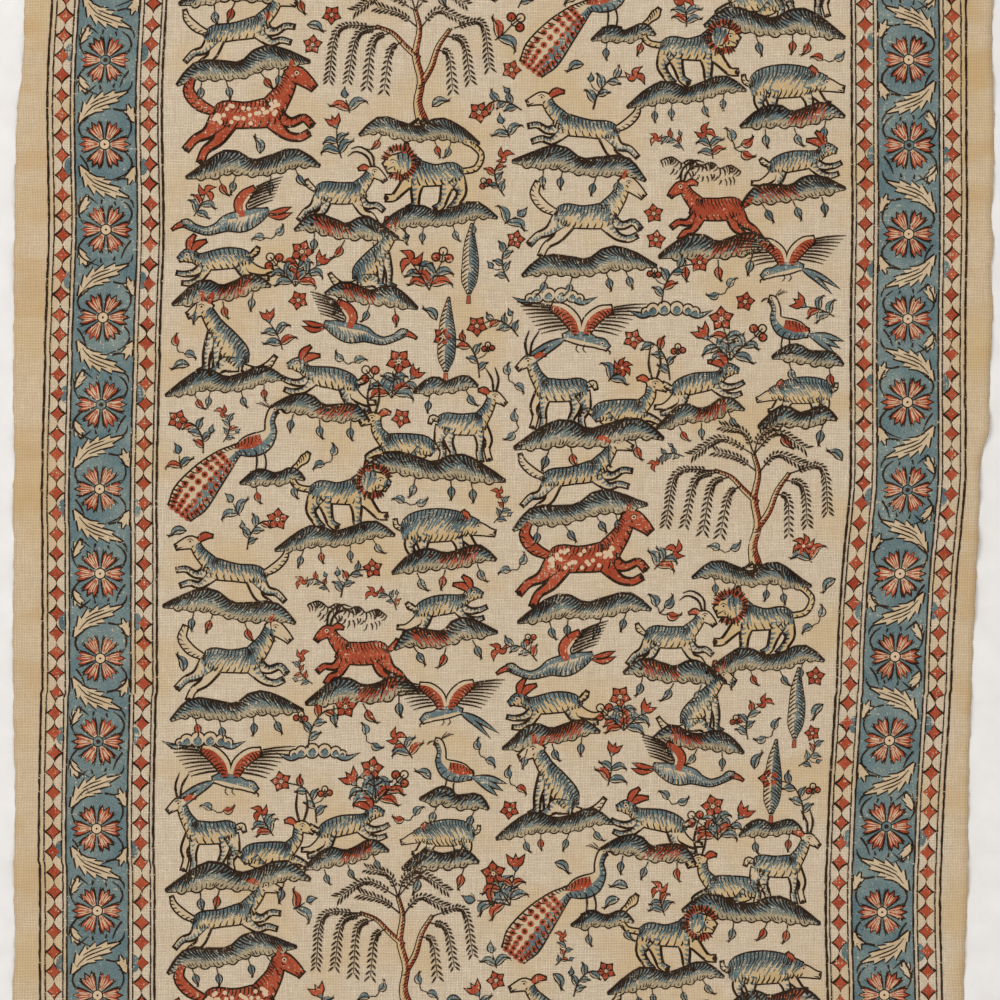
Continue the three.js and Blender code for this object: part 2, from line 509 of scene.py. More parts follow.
def diamonds(side, inset):
    """A row of diamonds with hollow sides: from its middle each narrows as a power of the way left to
    its tips. Red lies on a dark shape whose rim shows round it."""
    reach = PRINT_HALF[1 - side // 2] - inset
    along = np.arange(-reach, reach + 1, 2 * reach / round(2 * reach / DIAMOND_PITCH))
    way = np.linspace(-1, 1, 9)
    taper = (1 - np.abs(way)) ** DIAMOND_HOLLOW
    shapes = []
    for ink, rim in (("dark_outlines", DIAMOND_RIM), ("red_fill", 0.0)):
        half_width, half_length = DIAMOND_SIZE[0] + rim, DIAMOND_SIZE[1] + rim * 1.1
        places = (along + random.normal(0, 0.25, along.shape))[:, None] + way * half_length
        path = border_place(side, inset + random.normal(0, 0.2, along.shape)[:, None] + 0 * way, places)
        widths = 2 * half_width * taper * random.uniform(0.86, 1.08, along.shape)[:, None]
        shapes.append((ink, ribbon(path, widths + 0.12)))
    return shapes


def blue_gaps(side, row, towards):
    """Blue that ran over from the band: half rounds against the line between the band and a row of
    diamonds, each in the gap between two of them."""
    reach = PRINT_HALF[1 - side // 2] - row - CORNER_ROOM
    count = int(LENGTH / 2 / BLUE_GAP_PITCH)
    along = np.arange(-count, count + 1)[:, None] * BLUE_GAP_PITCH + BLUE_GAP_STARTS[side]
    along = along[np.abs(along[:, 0]) < reach]
    way = np.linspace(0, np.pi, 9)
    inset = row + towards * (4.9 - 1.7 * np.sin(way)) + 0 * along
    path = border_place(side, inset, along - 5.0 * np.cos(way))
    return [("blue_fill", ribbon(path, 3.6 * np.sin(way) + 0.2 + 0 * along))]


def petals(grow, start=0.0):
    """The flower's six petals from a share of the way out: grids of the way out and across. A petal
    widens from the eye as its length grows, and its outer edge has three teeth, the middle longest."""
    out, across = np.meshgrid(np.linspace(start, 1, 4), np.linspace(-1, 1, 13), indexing="ij")
    tooth = 2 * np.abs((across * 1.5 + 0.5) % 1 - 0.5)
    tip = 14.0 - 3.4 * tooth - 1.6 * across ** 2 + grow * 1.6
    radius = 3.3 + (tip - 3.3) * out
    angle = across * (0.24 + 0.13 * out) + across * grow / (radius + 2)
    angle = angle[None] + np.arange(6)[:, None, None] * np.pi / 3
    radius = radius * random.uniform(0.96, 1.05, (6, 1, 1))
    return np.stack([radius * np.cos(angle), radius * np.sin(angle)], -1)


def rays(near, far, angles, width):
    """Straight tapering lines out from a flower's middle, one for each angle."""
    radius = np.linspace(near, far, 4)[:, None]
    path = np.stack([radius * np.cos(angles), radius * np.sin(angles)], -1).transpose(1, 0, 2)
    widths = width * np.array([0.5, 1.0, 0.9, 0.35]) * random.uniform(0.8, 1.2, (len(angles), 1))
    return ribbon(path, widths)


def border_flower(blue_eye):
    """A flower in the blue band: six bare petals with red ends and streaks, dashes along the gaps
    between them, a bare or blue eye with a dark ring and dot, and the vine that curls round them."""
    sixths = np.arange(6) * np.pi / 3
    gaps = (sixths[:, None] + np.pi / 6 + np.array([-0.14, 0.14])).ravel()
    streaks = (sixths[:, None] + np.linspace(-0.22, 0.22, 4)).ravel() + random.normal(0, 0.03, 24)
    vines = [
        [(12.9, 18.8), (15.4, 14.2), (15.9, 8.6), (13.4, 3.6)],
        [(12.2, -4.6), (15.8, -9.4), (15.4, -14.4), (11.4, -18.2), (3.4, -21.4)],
        [(-13.6, 4.6), (-15.3, 9.4), (-13.3, 14.2), (-9.0, 17.6)],
        [(-14.8, -6.4), (-11.4, -11.2), (-9.2, -17.0)],
    ]
    turn = np.linspace(0, 2 * np.pi, 13)
    ring = np.stack([np.cos(turn), np.sin(turn)], -1) * 3.0
    eye = [("dark_lines", disc((0, 0), 3.5)), ("bare_lines", disc((0, 0), 2.8))]
    if blue_eye:
        eye = [("dark_lines", stroke(ring, 0.7, 25)), ("dark_dots", disc((0, 0), 1.3))]
    return [
        ("dark_outlines", petals(1.0)), ("bare_shapes", petals(0.0)), ("red_fill", petals(0.1, 0.46)),
        ("red_fill", rays(4.2, 9.2, streaks + 0.06, 0.6)), *eye, ("dark_dots", disc((0, 0), 0.7, 5)),
        ("bare_lines", rays(6.2, 11.8, streaks, 0.6)),
        ("dark_lines", rays(4.4, 14.6, gaps, 1.0)),
        *[("dark_lines", stroke(vine, 1.25, 10, (0.8, 0.3))) for vine in vines],
    ]


def toothed_leaf(points, width, teeth, grow=0.0):
    """A leaf with forward teeth: between its two edges and its rib, each tooth widens along its
    share of the way and drops back at its end. The whole fills out by a half wave of the way."""
    number = np.repeat(np.arange(teeth), 2)
    end = np.tile([0.0, 1.0], teeth)
    way = (number + 0.02 + 0.96 * end) / teeth
    table = np.column_stack([np.arange(len(points)), np.asarray(points, float)])
    path = table_curve(table, way * (len(points) - 1)).T
    along, side = ways_of(path)
    full = np.sin(np.pi * (0.05 + 0.95 * way) ** 1.2)
    half_width = width / 2 * full * (0.52 + 0.6 * end) + grow
    tooth_reach = (width * 0.28 * end * full + grow * (2 * way - 1))[:, None] * along
    edges = side * half_width[:, None]
    return np.stack([path - edges + tooth_reach, path + tooth_reach * 0.3, path + edges + tooth_reach], -2)


def border_leaf():
    """The leaf between two flowers, bare cloth in a dark outline, with its rib and veins, and the
    small leaf that stands against the band's edge."""
    spine = [(-15.4, -12.6), (-10.0, -4.4), (-1.3, 0.2), (13.4, 6.2)]
    smalls = [[(17.6, -12.0), (15.4, -7.6), (13.6, -1.6)], [(-15.8, 15.4), (-13.8, 10.6), (-11.0, 4.8)]]
    veins = [
        [(-12.4, -8.4), (-7.4, -2.8), (0.4, 0.6), (8.4, 3.6)],
        [(-8.6, -1.6), (-3.2, 1.6), (2.6, 3.4)],
        [(-6.8, -4.6), (-0.6, -2.2), (5.4, -0.4)],
    ]
    barbs = [
        [(13.0, 6.0), (15.6, 9.2), (16.2, 12.6)],
        [(-2.6, 7.4), (-3.2, 10.4)], [(4.8, 8.6), (5.6, 11.2)], [(-12.6, 4.8), (-9.4, 6.6), (-5.4, 10.0)],
        [(5.0, -4.2), (10.4, -5.2), (14.2, -4.2)],
    ]
    return [
        ("dark_outlines", toothed_leaf(spine, 10.6, 6, 0.95)),
        ("bare_shapes", toothed_leaf(spine, 10.6, 6)),
        *[("dark_outlines", toothed_leaf(small, 6.2, 3, 0.8)) for small in smalls],
        *[("bare_shapes", toothed_leaf(small, 6.2, 3)) for small in smalls],
        *[("dark_lines", stroke(vein, 0.95, 7)) for vein in veins],
        *[("dark_lines", stroke(barb, 1.15, 6, (1.0, 0.2))) for barb in barbs],
    ]


def band(side):
    """The blue band along one side, as a grid. An end's band stops where the sides' bands begin."""
    reach = PRINT_HALF[1 - side // 2] - BAND_EDGES[side // 2]
    along, inset = np.meshgrid(
        np.linspace(-reach, reach, int(2 * reach / LINE_SEGMENT)), np.linspace(*BAND_EDGES, 11)
    )
    return border_place(side, inset, along)


for side in range(4):
    printed["blue_band"].append(band(side))
    for line in BORDER_LINES:
        printed["dark_lines"].append(border_line(side, *line))
    for row, towards in zip(DIAMOND_ROWS, (1, -1)):
        stamp(diamonds(side, row))
        stamp(blue_gaps(side, row, towards))

    # The sides' flowers stand a pitch apart, corner to corner, and the ends share the corner flowers
    corner = PRINT_HALF[1 - side // 2] - BAND_MIDDLE
    flowers = FLOWERS_ALONG_SIDE if side < 2 else FLOWER_GAPS_ACROSS_END + 1
    places = np.linspace(-corner, corner, flowers)
    turn = 0 if side < 2 else 90
    tips = 1 if side in (0, 2) else -1
    for number, along in enumerate(places):
        odd = (number + side) % 2
        along = along + DRIFT * np.sin(np.pi * number / (flowers - 1)) + random.normal(0, 0.7)
        place = border_place(side, BAND_MIDDLE + random.normal(0, 0.3), np.array(along))
        if side < 2 or 0 < number < flowers - 1:
            flower = border_flower(number % EYE_TURN == BLUE_EYES[side])
            stamp(flower, place, turn, random.uniform(0.97, 1.03), tips if odd else -tips)
        if number < flowers - 1:
            middle = border_place(side, BAND_MIDDLE, np.array(along + corner / (flowers - 1)))
            upright = 0 if odd else 180
            stamp(border_leaf(), middle, turn + upright, 1.0, tips if odd else -tips)


# The field's plants: leaf sprigs, flowers, weeping trees, clouds and hatched mounds of earth. Their dark
# outlines were printed first, then blue, tan and red were pressed or brushed in.
RIM = 1.0


def limb(table, grow=0.0):
    """A body, limb or stalk: a ribbon along the smooth line of its table, whose third column is its
    width. Growing it adds a rim on both sides and beyond both ends."""
    line = smooth(table, 3 * len(table) - 1)
    path, width = line[:, :2], line[:, 2]
    beyond = path[[0, -1]] - path[[1, -2]]
    path[[0, -1]] += grow * beyond / np.linalg.norm(beyond, axis=-1, keepdims=True)
    return ribbon(path, width + 2 * grow)


def rimmed_blade(points, width, count, fullest, ink):
    """A blade of ink in a dark rim."""
    rim = blade(points, width, count, fullest, RIM)
    return [("dark_outlines", rim), (ink, blade(points, width, count, fullest))]


def rimmed_disc(middle, radius, ink, count=7):
    """A round spot of ink in a dark rim."""
    return [("dark_outlines", disc(middle, radius + RIM, count)), (ink, disc(middle, radius, count))]


def rimmed_limb(table, ink):
    """A body, limb or stalk of ink in a dark rim."""
    return [("dark_outlines", limb(table, RIM)), (ink, limb(table))]


def edge_of(table, count, side, depth):
    """Places along a limb at a depth in from one edge, as shares of its width, with the ways along
    and across it and its width there."""
    line = smooth(table, count)
    path, width = line[:, :2], line[:, 2:]
    along, across = ways_of(path)
    across = across * side
    return path + across * width * (0.5 - depth), along, across, width


def hatching(table, reach, pitch=2.3, side=1, lean=0.45, width=0.75, start=0.0):
    """Short strokes inwards from a depth, start, below one edge of a limb: reach is their length as a
    share of its width, pitch is how far apart they stand, and they lean back along it."""
    length = np.linalg.norm(np.diff(np.asarray(table, float)[:, :2], axis=0), axis=1).sum()
    count = max(4, int(length / pitch))
    edge, along, across, thick = edge_of(table, count, side, start)
    long = thick * reach * random.uniform(0.65, 1.2, (count, 1)) + 0.6
    inward = -across * long - along * long * lean
    way = np.array([0.0, 0.5, 1.0])[:, None]
    path = edge[:, None] + inward[:, None] * way + along[:, None] * (way * (1 - way)) * long[:, None] * 0.5
    return ribbon(path, width * np.array([1.1, 1.05, 0.35]) * random.uniform(0.8, 1.25, (count, 1)))


def shading(table, share, side=1):
    """A wash along one edge of a limb, covering a share of its width."""
    path = edge_of(table, 3 * len(table) - 1, side, share / 2)[0]
    return ribbon(path, smooth(table, 3 * len(table) - 1)[:, 2] * share)


def leaf(points, width, ink="blue_fill"):
    """A sprig's leaf: dark rim, bare middle, a wash over most of it, a rib and a hooked tip."""
    hook = np.subtract(points[-1], points[-2])
    hook = [points[-2], points[-1], points[-1] + hook * 0.4 + np.array([-hook[1], hook[0]]) * 0.42]
    return rimmed_blade(points, width, 9, 0.4, "bare_shapes") + [
        (ink, blade(np.add(points, (0.1, 0.12 * width)), width * 0.95, 7, 0.42)),
        ("dark_lines", stroke(points, 0.6, 6, (1.0, 0.1))),
        ("dark_lines", stroke(hook, 1.2, 5, (0.4, 0.2))),
    ]


def star_flower(x, y, size):
    """A flower of six pointed petals, each a curling blade out from the eye."""
    shapes = []
    for angle in np.arange(6) * np.pi / 3 + random.uniform(0, 1):
        out = np.array([np.cos(angle), np.sin(angle)])
        curl = np.array([-out[1], out[0]]) * size * 0.16
        points = [out * size * 0.1 + (x, y), out * size * 0.6 + (x, y) + curl, out * size + (x, y) - curl]
        shapes += rimmed_blade(points, size * 0.36, 7, 0.45, "red_fill")
    return shapes + [("bare_lines", disc((x, y), size * 0.15, 7))]


def tulip(x, y, size):
    """A flower from the side: three pointed petals that open upwards from a blue cup."""
    shapes = []
    for lean in (-0.75, 0.0, 0.75):
        points = [(x, y), (x + lean * size * 0.55, y + size * 0.5), (x + lean * size, y + size)]
        shapes += rimmed_blade(points, size * 0.42, 7, 0.45, "red_fill")
    cup = [(x, y - size * 0.35), (x, y), (x, y + size * 0.3)]
    shapes.append(("dark_outlines", blade(cup, size * 0.42, 7, 0.5, RIM)))
    return shapes + [("blue_fill", blade(cup, size * 0.4, 7))]


def bud(x, y, size):
    """A closed bud: one drop-shaped blade in a dark rim with two short hooks at its foot."""
    points = [(x, y), (x + size * 0.1, y + size * 0.5), (x, y + size)]
    shapes = rimmed_blade(points, size * 0.5, 9, 0.4, "blue_fill")
    for bend, end in (((-0.35, 0.2), (-0.45, 0.5)), ((0.35, 0.2), (0.5, 0.45))):
        hook = np.array([(0, 0), bend, end]) * size + (x, y)
        shapes.append(("dark_lines", stroke(hook, 0.6)))
    return shapes


def sprig(height, head, lean, pairs):
    """A plant: a stalk that leans over, pairs of leaves up it, and a flower as its head."""
    stalk = [(0, 0), (lean * height * 0.1, height * 0.5), (lean * height * 0.4, height)]
    line = smooth(stalk, 12)
    shapes = [("dark_lines", stroke(stalk, 0.85, 8, (1.0, 0.7)))]
    for pair in range(pairs):
        foot = line[int(2 + 8 * pair / max(1, pairs))]
        long = (9.6 - 1.5 * pair) * random.uniform(0.85, 1.15)
        for side in (-1, 1):
            rise = random.uniform(0.35, 0.8) * long
            bend, tip = (side * long * 0.55, rise * 0.8), (side * long * 1.05, rise * 0.7)
            points = [foot, foot + bend, foot + tip]
            tint = "blue_fill" if random.uniform() < 0.8 else "red_fill"
            shapes += leaf(points, long * 0.4, tint)
    return shapes + head(line[-1, 0], line[-1, 1] + 1.6, random.uniform(5.6, 7.2))


def five_petals(x, y, size):
    """A flower from the front: five petals that widen outwards, each with a dark line down it."""
    shapes = []
    for angle in np.arange(5) * 2 * np.pi / 5 + random.uniform(0, 1):
        out = np.array([np.cos(angle), np.sin(angle)]) * size
        points = [out * 0.16 + (x, y), out * 0.6 + (x, y), out * 1.02 + (x, y)]
        shapes += rimmed_blade(points, size * 0.66, 7, 0.6, "red_fill")
        shapes.append(("dark_lines", stroke(points[:2], 0.55, 4, (1.0, 0.2))))
    eye = [("bare_lines", disc((x, y), size * 0.2, 7)), ("dark_dots", disc((x, y), size * 0.07, 5))]
    return shapes + eye


def berries(x, y, size):
    """Three round berries on short stalks: red ones, and one left bare."""
    shapes = []
    for number, (across, up) in enumerate(((-0.62, 0.3), (0.1, 0.85), (0.68, 0.15))):
        place = (x + across * size, y + up * size)
        ink = "bare_shapes" if number == 1 else "red_fill"
        shapes.append(("dark_lines", stroke([(x, y - 1.6), place], 0.75, 4, (1.0, 1.0))))
        shapes += rimmed_disc(place, size * 0.33, ink)
    return shapes


def trefoil(x, y, size):
    """Three pointed lobes round the stalk's end, two of them hooked back."""
    shapes = []
    for angle in (-0.2, 1.55, 3.3):
        out = np.array([np.cos(angle), np.sin(angle)]) * size
        curl = np.array([-out[1], out[0]]) * 0.2
        points = [(x, y), out * 0.55 + (x, y) + curl, out * 1.1 + (x, y) - curl * 1.5]
        shapes += rimmed_blade(points, size * 0.5, 8, 0.42, "red_fill")
    return shapes


def spray(length, heads):
    """An arching branch: hooked leaves stand off it by turns, and flowers end it and its side twig."""
    stalk = np.array([(0, 0), (0.06, 0.4), (0.3, 0.78), (0.72, 0.9)]) * length
    shapes = [("dark_lines", stroke(stalk, 0.95, 12, (1.1, 0.7)))]
    line = smooth(stalk, 15)
    ways, sides = ways_of(line)
    side = random.choice([-1, 1])
    for step in range(2, 12, 2):
        along, across = ways[step], sides[step] * side
        long = random.uniform(6.4, 9.0) * min(1.0, length / 24)
        out = along * 0.62 + across * 0.78
        foot = line[step]
        points = [foot, foot + out * long * 0.55 + along * long * 0.12, foot + out * long]
        tint = "red_fill" if random.uniform() < 0.22 else "blue_fill"
        shapes += leaf(points, long * 0.42, tint)
        side = -side
    bend, end = line[5] + np.array([(-0.16, 0.06), (-0.26, 0.2)]) * length
    shapes.append(("dark_lines", stroke([line[5], bend, end], 0.8, 6)))
    shapes += heads[1](*end, random.uniform(3.8, 4.8))
    return shapes + heads[0](*(line[-1] + ways[-1] * 3.0), random.uniform(5.2, 6.6))


def bush(heads):
    """A plant with a stalk for each of its heads, spread like a fan from one foot."""
    shapes = []
    for number, head in enumerate(heads):
        lean = (number - (len(heads) - 1) / 2) * 0.62 + random.uniform(-0.08, 0.08)
        tall = random.uniform(17, 24) - 3 * abs(lean)
        cos, sin = np.cos(-lean), np.sin(-lean)
        matrix = np.array([(cos, sin), (-sin, cos)])
        shapes += [(ink, shape @ matrix) for ink, shape in sprig(tall, head, 0.4 * np.sign(lean), 2)]
    return shapes


def loose_leaves(count):
    """A small spray that fills a gap: a few leaves on short bent stalks from one point."""
    shapes = []
    for angle in np.linspace(-1.1, 1.1, count) + random.uniform(-0.2, 0.2, count):
        out = np.array([np.sin(angle), np.cos(angle)])
        bend = np.array([out[1], -out[0]]) * 1.3
        shapes.append(("dark_lines", stroke([(0, 0), out * 3 + bend * 0.5, out * 5.4], 0.7, 5, (1.0, 0.8))))
        ink = "red_fill" if random.uniform() < 0.25 else "blue_fill"
        shapes += leaf([out * 5, out * 8.4 + bend, out * 12.4], 4.0, ink)
    return shapes


def mound(length, thick, bend, leaves, patch=False):
    """A low mound of earth: a wavy lens with a scalloped foot, greyish below and blue above, with a
    comb of dark strokes down from its crest, a short one up from its foot, and leaves that hang
    below."""
    x = np.linspace(-0.5, 0.5, 7) * length
    y = np.array([-0.6, 0.3, 1.1, 0.2, 0.4, 1.0, -0.5]) * bend + random.uniform(-0.8, 0.8, 7)
    width = np.array([0.1, 0.75, 1.05, 0.72, 0.85, 0.8, 0.08]) * thick
    table = np.column_stack([x, y, width])
    crest = 1
    middles, _, _, thick_there = edge_of(table, round(length / 7.6), -crest, 0.2)
    radii = thick_there[1:-1, 0] * 0.2 + random.uniform(0.7, 1.2, len(middles) - 2)
    shapes = [
        ("dark_outlines", limb(table, 0.6)), ("earth_fill", limb(table)),
        ("blue_fill", shading(table, 0.56, crest)),
        ("blue_fill", hatching(table, 0.22, 2.0, crest, 0.7, 0.9, 0.5)),
        ("dark_lines", hatching(table, 0.56, 1.9, crest, 0.7, 1.1)),
        ("dark_lines", hatching(table, 0.22, 1.9, crest, 0.4, 0.85, 0.02)),
        ("dark_lines", hatching(table, 0.15, 2.6, -crest, -0.6, 0.55)),
    ]
    for middle, radius in zip(middles[1:-1], radii):
        shapes += rimmed_disc(middle, radius, "earth_fill", 9)
    if patch:
        shapes.append(("red_fill", hatching(table[3:6], 0.85, 1.5, crest, 0.5, 1.3)))
    rim, _, _, _ = edge_of(table, 14, crest, 0.0)
    shapes.append(("dark_lines", ribbon(rim, random.uniform(1.1, 1.9, 14))))
    foot, _, _, _ = edge_of(table, 40, -crest, -0.12)
    for start in np.linspace(8, 32, leaves).astype(int):
        hang = np.array([random.uniform(-2.0, 2.0), -1.0])
        points = [foot[start], foot[start] + hang * (0.6, 2.5), foot[start] + hang * (1.2, 4.2)]
        shapes.append(("dark_lines", stroke(points, 0.7, 5, (1.0, 0.7))))
        ink = "red_fill" if random.uniform() < 0.3 else "blue_fill"
        tip = [points[-1], points[-1] + (hang[0] * 0.5, -3.4), points[-1] + (hang[0] * 2.0 + 0.8, -6.8)]
        shapes += leaf(tip, 3.0, ink)
    return shapes


TWIG_LEAF = 4.6
TWIG_PITCH = 2.6


def twig(points):
    """A weeping twig: a thin stroke with pairs of short dark leaves that point towards its tip."""
    length = np.linalg.norm(np.diff(np.asarray(points, float), axis=0), axis=1).sum()
    count = int(length / TWIG_PITCH)
    path = smooth(points, count + 3)[3:]
    along, across = ways_of(path)
    shapes = [("dark_lines", stroke(points, 0.75, max(6, count // 2), (1.3, 0.5)))]
    long = TWIG_LEAF * random.uniform(0.75, 1.15, (count, 1)) * np.linspace(0.5, 1.1, count)[:, None]
    for side in (-1, 1):
        near = path + across * side * 0.7
        far = near + (along * 0.72 + across * side * 0.62) * long
        way = np.array([0.0, 0.55, 1.0])[:, None]
        leaves = near[:, None] * (1 - way) + far[:, None] * way
        shapes.append(("dark_lines", ribbon(leaves, np.array([0.75, 1.35, 0.4]))))
    return shapes


def weeping_tree():
    """A tree: a forked trunk with a bare middle, and twigs that arch out and hang down both sides."""
    trunk = [(4, 0, 7.0), (1, 12, 4.4), (3, 26, 3.8), (-1, 42, 3.2), (1, 58, 2.4), (-2, 70, 1.6)]
    fork = [(2, 22, 3.2), (9, 34, 2.8), (13, 47, 2.2), (20, 58, 1.4)]
    crook = [(1, 40, 2.6), (-8, 48, 2.2), (-16, 56, 1.6), (-26, 60, 1.2)]
    limbs = (trunk, fork, crook)
    shapes = [("dark_outlines", limb(table, 0.7)) for table in limbs]
    shapes += [("tan_fill", limb(table)) for table in limbs]
    shapes += [("red_fill", shading(table, 0.5, -1)) for table in limbs]
    shapes += [("dark_lines", hatching(table, 0.5, 2.0, -1, 0.9)) for table in limbs]
    roots = [[(4, 2), (10, -2), (16, -3)], [(2, 2), (-4, -2), (-11, -2)], [(3, 1), (4, -4), (8, -7)]]
    shapes += [("dark_lines", stroke(root, 2.2, 7, (1.0, 0.2))) for root in roots]
    hanging = [
        (-26, 60, -50, 58, -55, 26), (-23, 59, -38, 54, -43, 26), (-17, 56, -28, 50, -31, 22),
        (-10, 50, -17, 44, -20, 20), (-2, 70, -22, 80, -40, 70), (-1, 60, -12, 68, -26, 72),
        (20, 58, 40, 62, 46, 34), (17, 54, 29, 50, 34, 26), (12, 45, 20, 42, 23, 20),
        (-2, 70, 12, 84, 30, 74), (1, 58, 12, 70, 28, 64), (-2, 70, -8, 84, -22, 88),
        (-2, 70, 2, 82, 12, 90),
    ]
    for start_x, start_y, middle_x, middle_y, end_x, end_y in hanging:
        shapes += twig([(start_x, start_y), (middle_x, middle_y), (end_x, end_y)])
    return shapes


def cypress():
    """A slender tree: a tall dark-rimmed flame, blue down one side, combed with slanting strokes."""
    flame = [(0, 6, 1.5), (0, 14, 9.0), (0.4, 26, 9.6), (0, 38, 6.6), (0.8, 50, 0.6)]
    trunk = [(0, 0, 2.2), (0, 4.6, 1.8)]
    return [
        ("dark_outlines", limb(flame, 0.6)), ("bare_shapes", limb(flame)),
        ("blue_fill", shading(flame, 0.6, -1)),
        ("dark_lines", hatching(flame, 0.45, 1.9, -1, -0.8)),
        ("dark_lines", hatching(flame, 0.35, 2.4, 1, -0.8)),
        ("dark_outlines", limb(trunk, 0.4)), ("red_fill", limb(trunk)),
    ]


def cloud(count=6):
    """A row of scallops between two drawn-out tails: overlapping spots in dark rims, largest in the
    middle, with a blue wash and a curl in each."""
    angle = np.linspace(0.35, np.pi - 0.35, count)
    middles = np.stack([-np.cos(angle) * count * 2.6, 3.4 * np.sin(angle)], -1)
    radii = 1.6 + 2.2 * np.sin(angle) + random.uniform(-0.3, 0.3, count)
    shapes = []
    for middle, radius in zip(middles, radii):
        curl = [middle + (-0.5 * radius, -0.3 * radius), middle + (0.1 * radius, 0.4 * radius)]
        shapes += rimmed_disc(middle, radius, "bare_shapes", 9)
        shapes += [("blue_fill", disc(middle - (0, 0.3 * radius), radius * 0.66))]
        shapes += [("dark_lines", stroke([*curl, middle + (0.5 * radius, -0.2 * radius)], 0.7, 6))]
    for side in (-1, 1):
        tail = [(side * 10, 1.5), (side * 17, -1.0), (side * 24, 1.6)]
        shapes += [("dark_outlines", blade(tail, 2.6, 9, 0.3, RIM))]
        shapes += [("blue_fill", blade(tail, 2.2, 9, 0.3))]
    return shapes


def turf(length=44.0):
    """A patch of turf: a scalloped line with rows of short blades of grass standing on it."""
    x = np.linspace(-0.5, 0.5, 16) * length
    table = np.column_stack([x, 3.2 * np.abs(np.sin(x * 0.29)) + 2.0, np.full(16, 5.0)])
    under = table + (2.0, -6.0, 0.0)
    return [
        ("dark_lines", ribbon(smooth(table[:, :2], 40), random.uniform(0.6, 1.0, 40))),
        ("dark_lines", hatching(table, 0.8, 1.5, 1, 0.1, 0.75, 0.5)),
        ("dark_lines", hatching(under[2:-2], 0.7, 2.0, 1, 0.1, 0.7, 0.5)),
    ]


# The field's creatures: hares, deer, horses, hounds, lions and birds, each a few limbs in a dark outline
# with a bare or washed inside, a combed back, and an ear or wing picked out in red.
# A limb is rows of x, y and width, in millimetres from under the creature's middle, facing right.
HARE = {
    "limbs": [
        [(-17, 6, 3), (-13, 8.5, 9), (-4, 10, 11), (6, 10, 9.5), (12, 11.5, 6), (15, 13.5, 4.5)],
        [(13, 12, 4), (17, 14.5, 7), (20.5, 14.2, 5), (23, 13.2, 2)],
        [(-13, 6, 7), (-18, 2, 4.5), (-24, -0.5, 2.6), (-29, 0, 1.6)],
        [(-11, 5, 6), (-14, -1, 4), (-21, -4, 2.4), (-26, -4.5, 1.5)],
        [(9, 8, 5), (15, 4.5, 3.2), (21, 4.4, 2), (25, 5.6, 1.4)],
        [(8, 6.5, 5), (12, 1, 3), (18, -1.2, 2.2), (22.5, -0.6, 1.4)],
        [(-17, 9, 1.5), (-20.5, 11.5, 3), (-22, 13.5, 1)],
    ],
    "ears": [
        [(15, 17, 1.4), (12, 20, 3.4), (7, 21.4, 0.8)], [(17, 17.4, 1.4), (16, 22, 3.2), (13, 25.6, 0.8)],
    ],
    "eye": (18.6, 15.2),
}
DEER = {
    "limbs": [
        [(-15, 19, 6), (-12, 20, 11), (-3, 19, 11.5), (7, 19.5, 12), (11, 21, 9)],
        [(9, 22, 8.5), (13, 28, 6), (15.5, 34, 4.6)],
        [(13.5, 35, 4), (17, 36, 5.8), (21, 33.5, 3.8), (23.5, 31.5, 2)],
        [(-13, 17, 9), (-15.5, 9, 4.6), (-13, 3, 2.6), (-14, -3, 2.6)],
        [(-10, 16, 8), (-9.5, 8, 4), (-7, 2, 2.4), (-7.5, -3, 2.4)],
        [(8, 17, 7), (9, 8, 3.4), (8.5, 2, 2.4), (9.5, -3, 2.6)],
        [(10, 18, 6), (14, 10, 3.4), (13, 4, 2.4), (14.5, -2, 2.5)],
        [(-16, 22, 1.5), (-19.5, 23, 2.6), (-21, 20, 1)],
    ],
    "ears": [[(14, 37.5, 1.4), (11, 39.5, 3.2), (8, 39.6, 0.8)]],
    "horns": [[(16.4, 38.4), (15.6, 46), (11.6, 53)], [(18, 38.4), (19.4, 46), (17.2, 53.5)]],
    "eye": (17.6, 36.0),
}
RESTING_DEER = {
    "limbs": [
        [(-19, 4, 5), (-14, 7, 11), (-4, 8, 12), (6, 8, 12), (11, 9, 9)],
        [(9, 10, 8), (14, 16, 5.6), (15, 22, 4.6)],
        [(13, 23, 4), (17, 24, 6), (21.4, 22, 3.8), (24, 20.6, 2)],
        [(-12, 4, 8), (-6, 0, 4.4), (0, -1, 2.8), (6, -0.4, 2.0)],
        [(8, 5, 6), (15, 3.4, 3.4), (20, 0, 2.6), (15, -2.4, 2.2), (10, -2, 1.6)],
        [(-20, 6, 1.5), (-23, 8.4, 2.8), (-25, 6.4, 1)],
    ],
    "ears": [[(13, 25.6, 1.4), (10, 27.4, 3.2), (7, 27, 0.8)]],
    "horns": [[(15.6, 26.4), (13.4, 36), (14.4, 47)], [(18, 26.6), (20.4, 36), (18.6, 47)]],
    "eye": (17.4, 24.2),
}
HOUND = {
    "limbs": [
        [(-20, 11, 5), (-15, 13, 9.5), (-4, 13, 9), (8, 14, 11), (14, 17, 8)],
        [(12, 17, 8), (18, 22, 6), (21, 26, 5)],
        [(19.5, 26.5, 4.5), (24, 27.5, 6.5), (29, 25.5, 4.2), (32, 24, 2.4)],
        [(12, 12, 6), (19, 9.6, 3.4), (25, 12, 2.4), (30, 11, 1.8)],
        [(10, 10, 6), (16, 4, 3.4), (22, 4.5, 2.4), (27, 2.5, 1.8)],
        [(-16, 11, 8), (-22, 5, 4.2), (-28, 4, 2.6), (-33, 0, 1.8)],
        [(-14, 10, 8), (-18, 1, 4.4), (-24, -2, 2.6), (-28, -5, 1.8)],
        [(-19, 14, 2), (-25, 18, 3.6), (-30, 24, 3), (-31, 29, 1)],
    ],
    "ears": [[(20, 29, 1.6), (16.5, 32, 3.4), (12.4, 32.4, 0.8)]],
    "eye": (24.4, 28.0),
}
